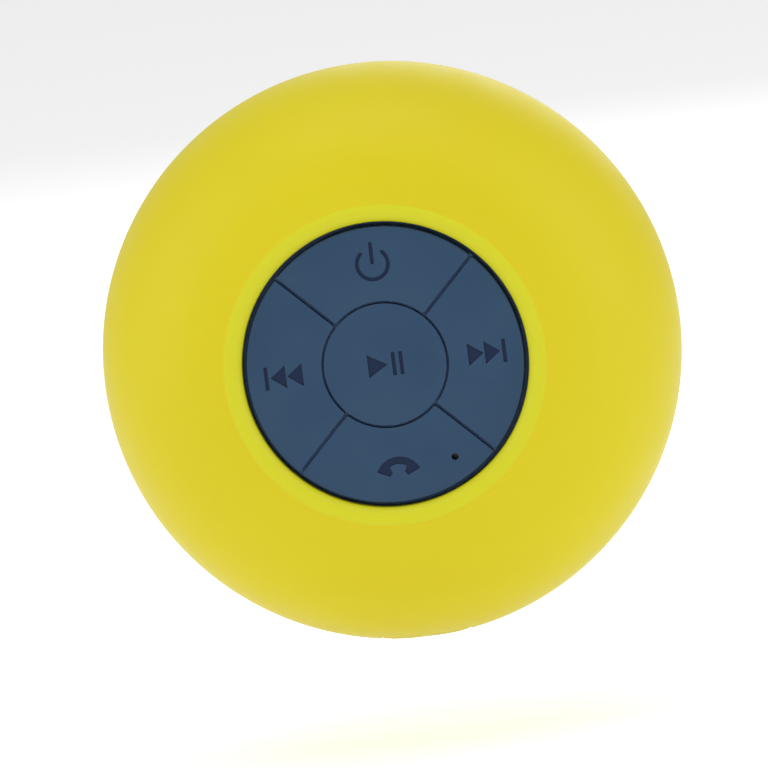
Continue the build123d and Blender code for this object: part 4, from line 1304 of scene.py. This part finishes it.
# ---------------------------------------------------------------- suction cup
@dataclass
class SuctionCup:
    """The silicone cup, drawn as one turned section, and the stud that carries the speaker."""

    lip_radius: float = field(default_factory=lambda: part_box("suction_cup")[1].x)
    lip: float = 0.8 * MM
    lip_width: float = 1.0 * MM
    cavity_height: float = 9.5 * MM
    wall: float = 2.6 * MM
    hub_radius: float = 9.5 * MM
    hub_round: float = 3.0 * MM
    press: float = 6.0 * MM
    hub_edge: float = 0.6 * MM
    lip_round: float = 0.35 * MM
    socket_radius: float = 4.6 * MM
    socket_depth: float = 2.4 * MM
    cavity_spans: int = 40
    dome_spans: int = 36
    segments: int = 192

    def _cap(self, radius: float, height: float, base: float, r: float) -> float:
        """Depth of a shallow round cap at a radius, over a rim of given radius and depth."""
        sphere = (radius**2 + height**2) / (2 * height)
        return base + height - sphere + math.sqrt(sphere**2 - r**2)

    def profile(self) -> list[Point]:
        """The cup's closed section.

        Returns:
            (radius, y) points, from the cavity's middle out to the lip and back over the hub.
        """
        cavity = self.lip_radius - self.lip_width
        hub_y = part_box("suction_cup")[0].y
        inside = []
        for i in range(self.cavity_spans + 1):
            r = cavity * i / self.cavity_spans
            inside.append((r, -self._cap(cavity, self.cavity_height, 0, r)))
        height = self.cavity_height + self.wall - self.lip
        outside = []
        inward = self.hub_radius + self.hub_round - self.lip_radius
        for i in range(self.dome_spans + 1):
            r = self.lip_radius + inward * i / self.dome_spans
            outside.append((r, -self._cap(self.lip_radius, height, self.lip, r)))
        root = (self.hub_radius, -self._cap(self.lip_radius, height, self.lip, self.hub_radius))
        hub_foot = (self.hub_radius, root[1] - self.hub_round)
        neck = soft_corner(outside[-1], root, hub_foot, self.hub_round, 10)
        top = (self.hub_radius, hub_y)
        rim = soft_corner(hub_foot, top, (0, hub_y), self.hub_edge)
        lip = soft_corner(inside[-1], (self.lip_radius, 0), outside[0], self.lip_round)
        floor_y = hub_y + self.socket_depth
        socket = [(self.socket_radius, hub_y), (self.socket_radius, floor_y), (0, floor_y)]
        return inside + lip + outside + neck[1:] + rim + socket

    def build(self, book: FinishBook) -> None:
        """Builds and dresses the cup, and dresses the stud.

        Args:
            book: the finishes.
        """
        mesh = lathe(self.profile(), self.segments, "suction_bell_mesh")
        piece = add_piece("suction_bell", mesh, "cup", ["suction_cup"])
        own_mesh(piece)
        book.dress(piece, "cup_silicone_finish")
        book.dress_nodes(
            {
                "cup_stud": "dark_plastic",
                "stud_washer": "plated_steel",
                "stud_screw": "plated_steel",
            }
        )


# ---------------------------------------------------------------- inner parts
@dataclass
class InnerParts:
    """The carried-over CAD nodes and the finish of each."""

    finishes: dict[str, str] = field(
        default_factory=lambda: {
            "rear_cover": "dark_plastic",
            "front_housing": "housing_plastic_finish",
            "inner_frame": "natural_plastic",
            "housing_seal": "black_rubber",
            "microphone_boot": "black_rubber",
            "acoustic_mesh": "mesh_cloth",
            "housing_screws": "plated_steel",
            "frame_screws": "plated_steel",
            "board_screws": "plated_steel",
            "driver_screws": "plated_steel",
            "charge_screws": "plated_steel",
            "main_board": "solder_mask",
            "charge_board": "solder_mask",
            "terminal_board": "solder_mask",
            "switch_bodies": "dark_plastic",
            "charge_tongue": "dark_plastic",
            "amplifier_chip": "chip_epoxy",
            "radio_module": "tinned_shield",
            "charge_socket": "tinned_shield",
            "board_capacitors": "tinned_shield",
            "microphone": "tinned_shield",
            "battery_cell": "pouch_foil",
            "battery_pad": "black_foam",
            "driver_gasket": "black_foam",
            "driver_basket": "black_paint",
            "driver_surround": "black_rubber",
            "driver_cone": "cone_film",
            "dust_cap": "cone_film",
            "coil_former": "amber_film",
            "voice_coil": "copper_winding",
            "driver_spider": "spider_cloth_finish",
            "driver_top_plate": "plated_steel",
            "driver_yoke": "plated_steel",
            "driver_magnet": "ferrite",
            "terminal_tabs": "brass_finish",
        }
    )

    def dress(self, book: FinishBook) -> None:
        """Dresses every inner node, the switches' plungers and the leads among them.

        Args:
            book: the finishes.
        """
        book.dress_nodes(self.finishes)
        for key in KeyName:
            book.dress_nodes({f"plunger_{key.word}": "red_acetal"})
        for use in ("battery", "speaker", "charge"):
            book.dress_nodes({f"{use}_lead_red": "red_wire", f"{use}_lead_black": "black_rubber"})


# ---------------------------------------------------------------- studio
@dataclass
class Studio:
    """The pale floor, the soft lights and the camera."""

    lens: float = 400.0
    sensor: float = 36.0
    azimuth: float = 3.7
    elevation: float = 5.9
    roll: float = 7.3
    frame_width: float = 114.0 * MM
    floor_drop: float = 16.0 * MM
    aim: tuple[float, float] = (-1.2 * MM, -5.02 * MM)
    floor_reach: float = 6.0
    floor_tone: float = 0.88
    floor_glow: float = 0.28
    room_strength: float = 0.62
    backdrop_tone: float = 0.95

    def build(self) -> None:
        """Builds the studio."""
        self._floor()
        self._lights()
        self._camera()

    def _floor(self) -> None:
        """A wide pale floor, below the reach of the open flap of the wall-hung body."""
        size = self.floor_reach
        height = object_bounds()[0][2] - self.floor_drop
        mesh = bpy.data.meshes.new("floor_mesh")
        corners = [(x * size, y * size, height) for x, y in ((-1, -1), (1, -1), (1, 1), (-1, 1))]
        mesh.from_pydata(corners, [], [(0, 1, 2, 3)])
        floor = bpy.data.objects.new("floor", mesh)
        bpy.context.scene.collection.objects.link(floor)
        material = bpy.data.materials.new("floor_paint")
        material.use_nodes = True
        surface = material.node_tree.nodes["Principled BSDF"]
        surface.inputs["Base Color"].default_value = (*[self.floor_tone] * 3, 1)
        surface.inputs["Emission Color"].default_value = (1, 1, 1, 1)
        surface.inputs["Emission Strength"].default_value = self.floor_glow
        surface.inputs["Roughness"].default_value = 0.6
        mesh.materials.append(material)
        floor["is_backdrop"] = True

    def _lights(self) -> None:
        """Even light from all round, four soft lamps, and a backdrop that only the camera sees."""
        world = bpy.data.worlds.new("studio_world")
        world.use_nodes = True
        tree = world.node_tree
        room = tree.nodes["Background"]
        room.inputs["Color"].default_value = (1, 1, 1, 1)
        room.inputs["Strength"].default_value = self.room_strength
        backdrop = tree.nodes.new("ShaderNodeBackground")
        backdrop.inputs["Color"].default_value = (*[self.backdrop_tone] * 3, 1)
        path = tree.nodes.new("ShaderNodeLightPath")
        mix = tree.nodes.new("ShaderNodeMixShader")
        tree.links.new(path.outputs["Is Camera Ray"], mix.inputs["Fac"])
        tree.links.new(room.outputs["Background"], mix.inputs[1])
        tree.links.new(backdrop.outputs["Background"], mix.inputs[2])
        tree.links.new(mix.outputs["Shader"], tree.nodes["World Output"].inputs["Surface"])
        bpy.context.scene.world = world
        for name, place, size, power in (
            ("left_light", (-0.9, -0.45, 0.35), 0.9, 3.4),
            ("right_light", (0.9, -0.45, 0.35), 0.9, 3.4),
            ("top_light", (0.0, -0.35, 1.0), 0.9, 3.4),
            ("back_light", (0.2, 0.9, 0.5), 0.7, 2.0),
        ):
            light = bpy.data.lights.new(name, "AREA")
            light.energy = power
            light.size = size
            lamp = bpy.data.objects.new(name, light)
            bpy.context.scene.collection.objects.link(lamp)
            lamp.location = place
            lamp.rotation_euler = (-Vector(place)).to_track_quat("-Z", "Y").to_euler()

    def _camera(self) -> None:
        """A long-lens camera a little above and to the right of the axis, rolled clockwise."""
        data = bpy.data.cameras.new("camera")
        data.lens = self.lens
        data.sensor_width = self.sensor
        data.clip_end = 20.0
        camera = bpy.data.objects.new("camera", data)
        bpy.context.scene.collection.objects.link(camera)
        bpy.context.scene.camera = camera
        azimuth, elevation = math.radians(self.azimuth), math.radians(self.elevation)
        level = math.cos(elevation)
        back = Vector(
            (math.sin(azimuth) * level, -math.cos(azimuth) * level, math.sin(elevation))
        )
        right = Vector((0, 0, 1)).cross(back).normalized()
        up = back.cross(right).normalized()
        roll = math.radians(self.roll)
        rolled_right = right * math.cos(roll) - up * math.sin(roll)
        rolled_up = up * math.cos(roll) + right * math.sin(roll)
        target = Vector((0, BodySection().equator_y, 0))
        target += rolled_right * self.aim[0] + rolled_up * self.aim[1]
        distance = self.frame_width * self.lens / self.sensor
        camera.location = target + back * distance
        axes = Matrix((rolled_right, rolled_up, back)).transposed()
        camera.rotation_euler = axes.to_euler()


# ---------------------------------------------------------------- the finishes used
YELLOW = (0.61, 0.52, 0.005)
FINISHES = [
    # the band within ring_radius is a painted highlight: a lighter, greener tone for light on the
    # raised ring's slope
    PaintedRingLightFinish(
        "yellow_silicone", YELLOW, (0.60, 0.50, 0.005), drift_scale=25.0, shiny=0.42, dull=0.5,
        grain_scale=5200.0, grain_depth=0.004 * MM, subsurface=0.08,
        subsurface_radius=(1.0, 0.8, 0.1), specular=0.25, ring_light_colour=(0.575, 0.56, 0.012),
        ring_radius=23.75 * MM,
    ),
    Finish(
        "cup_silicone_finish", (0.60, 0.51, 0.012), (0.57, 0.485, 0.012), drift_scale=30.0,
        shiny=0.24, dull=0.28, wear_scale=60.0, grain_scale=2600.0, grain_depth=0.002 * MM,
        subsurface=0.1, subsurface_radius=(1.2, 1.0, 0.15),
    ),
    SunkFinish(
        "slate_keys", (0.018, 0.050, 0.105), (0.021, 0.056, 0.112), drift_scale=90.0,
        shiny=0.34, dull=0.42, grain_scale=6000.0, grain_depth=0.003 * MM,
        sunk_colour=(0.001, 0.012, 0.046), sunk_y=-53.86 * MM, specular=0.24,
    ),
    Finish("groove_silicone", (0.08, 0.16, 0.36), (0.085, 0.17, 0.38), shiny=0.5, dull=0.6),
    Finish(
        "dark_plastic", (0.020, 0.026, 0.036), (0.025, 0.031, 0.042), shiny=0.38, dull=0.55,
        grain_scale=2400.0, grain_depth=0.015 * MM,
    ),
    Finish(
        "housing_plastic_finish", (0.03, 0.035, 0.045), (0.036, 0.04, 0.05), shiny=0.4, dull=0.5,
    ),
    Finish("natural_plastic", (0.55, 0.54, 0.5), (0.5, 0.49, 0.45), shiny=0.4, dull=0.5),
    Finish("black_rubber", (0.014, 0.014, 0.015), (0.02, 0.02, 0.021), shiny=0.5, dull=0.65),
    Finish(
        "black_foam", (0.02, 0.02, 0.02), (0.03, 0.03, 0.03), shiny=0.8, dull=0.95,
        grain_depth=0.06 * MM,
    ),
    Finish(
        "mesh_cloth", (0.010, 0.010, 0.012), (0.02, 0.02, 0.022), shiny=0.7, dull=0.9,
        grain_scale=4200.0, grain_depth=0.05 * MM, sheen=0.2,
    ),
    Finish(
        "plated_steel", (0.58, 0.57, 0.55), (0.5, 0.5, 0.5), shiny=0.22, dull=0.4, metallic=1.0,
        wear_scale=900.0,
    ),
    Finish(
        "tinned_shield", (0.62, 0.62, 0.62), (0.55, 0.55, 0.56), shiny=0.25, dull=0.38,
        metallic=1.0,
    ),
    Finish(
        "solder_mask", (0.010, 0.10, 0.035), (0.014, 0.12, 0.04), shiny=0.25, dull=0.32, coat=0.2,
    ),
    Finish("chip_epoxy", (0.012, 0.012, 0.013), (0.018, 0.018, 0.018), shiny=0.5, dull=0.6),
    Finish(
        "pouch_foil", (0.72, 0.72, 0.74), (0.62, 0.62, 0.64), shiny=0.3, dull=0.42, metallic=1.0,
    ),
    Finish("black_paint", (0.018, 0.018, 0.018), (0.024, 0.024, 0.024), shiny=0.3, dull=0.42),
    Finish("cone_film", (0.03, 0.03, 0.034), (0.038, 0.038, 0.042), shiny=0.3, dull=0.4),
    Finish("amber_film", (0.42, 0.19, 0.03), (0.36, 0.15, 0.02), shiny=0.2, dull=0.3),
    Finish(
        "copper_winding", (0.72, 0.3, 0.14), (0.62, 0.25, 0.11), shiny=0.25, dull=0.35,
        metallic=1.0,
    ),
    Finish("spider_cloth_finish", (0.42, 0.28, 0.1), (0.36, 0.23, 0.08), shiny=0.7, dull=0.85),
    Finish("ferrite", (0.035, 0.035, 0.038), (0.05, 0.05, 0.053), shiny=0.45, dull=0.6),
    Finish(
        "brass_finish", (0.78, 0.6, 0.26), (0.7, 0.52, 0.2), shiny=0.25, dull=0.35, metallic=1.0,
    ),
    Finish("red_acetal", (0.42, 0.05, 0.03), (0.36, 0.04, 0.025), shiny=0.3, dull=0.4),
    Finish("red_wire", (0.45, 0.02, 0.02), (0.4, 0.016, 0.016), shiny=0.35, dull=0.45),
]


def main() -> None:
    """Builds the speaker's visible pieces in order, then the studio round them."""
    logging.basicConfig(level=logging.INFO, format="%(name)s: %(message)s")
    book = FinishBook(ShaderGroups(), FINISHES)
    section = BodySection()
    port = Port()
    steps: list[tuple[str, Callable[[], None]]] = [
        ("jacket", lambda: Jacket(section, port).build(book)),
        ("port flap", lambda: PortFlap(section, port).build(book)),
        ("keypad", lambda: Keypad(Icons()).build(book)),
        ("suction cup", lambda: SuctionCup().build(book)),
        ("inner parts", lambda: InnerParts().dress(book)),
        ("studio", lambda: Studio().build()),
    ]
    for name, step in steps:
        step()
        LOG.info("built the %s", name)
    bpy.context.scene.view_settings.view_transform = "Standard"


if __name__ == "__main__":
    main()
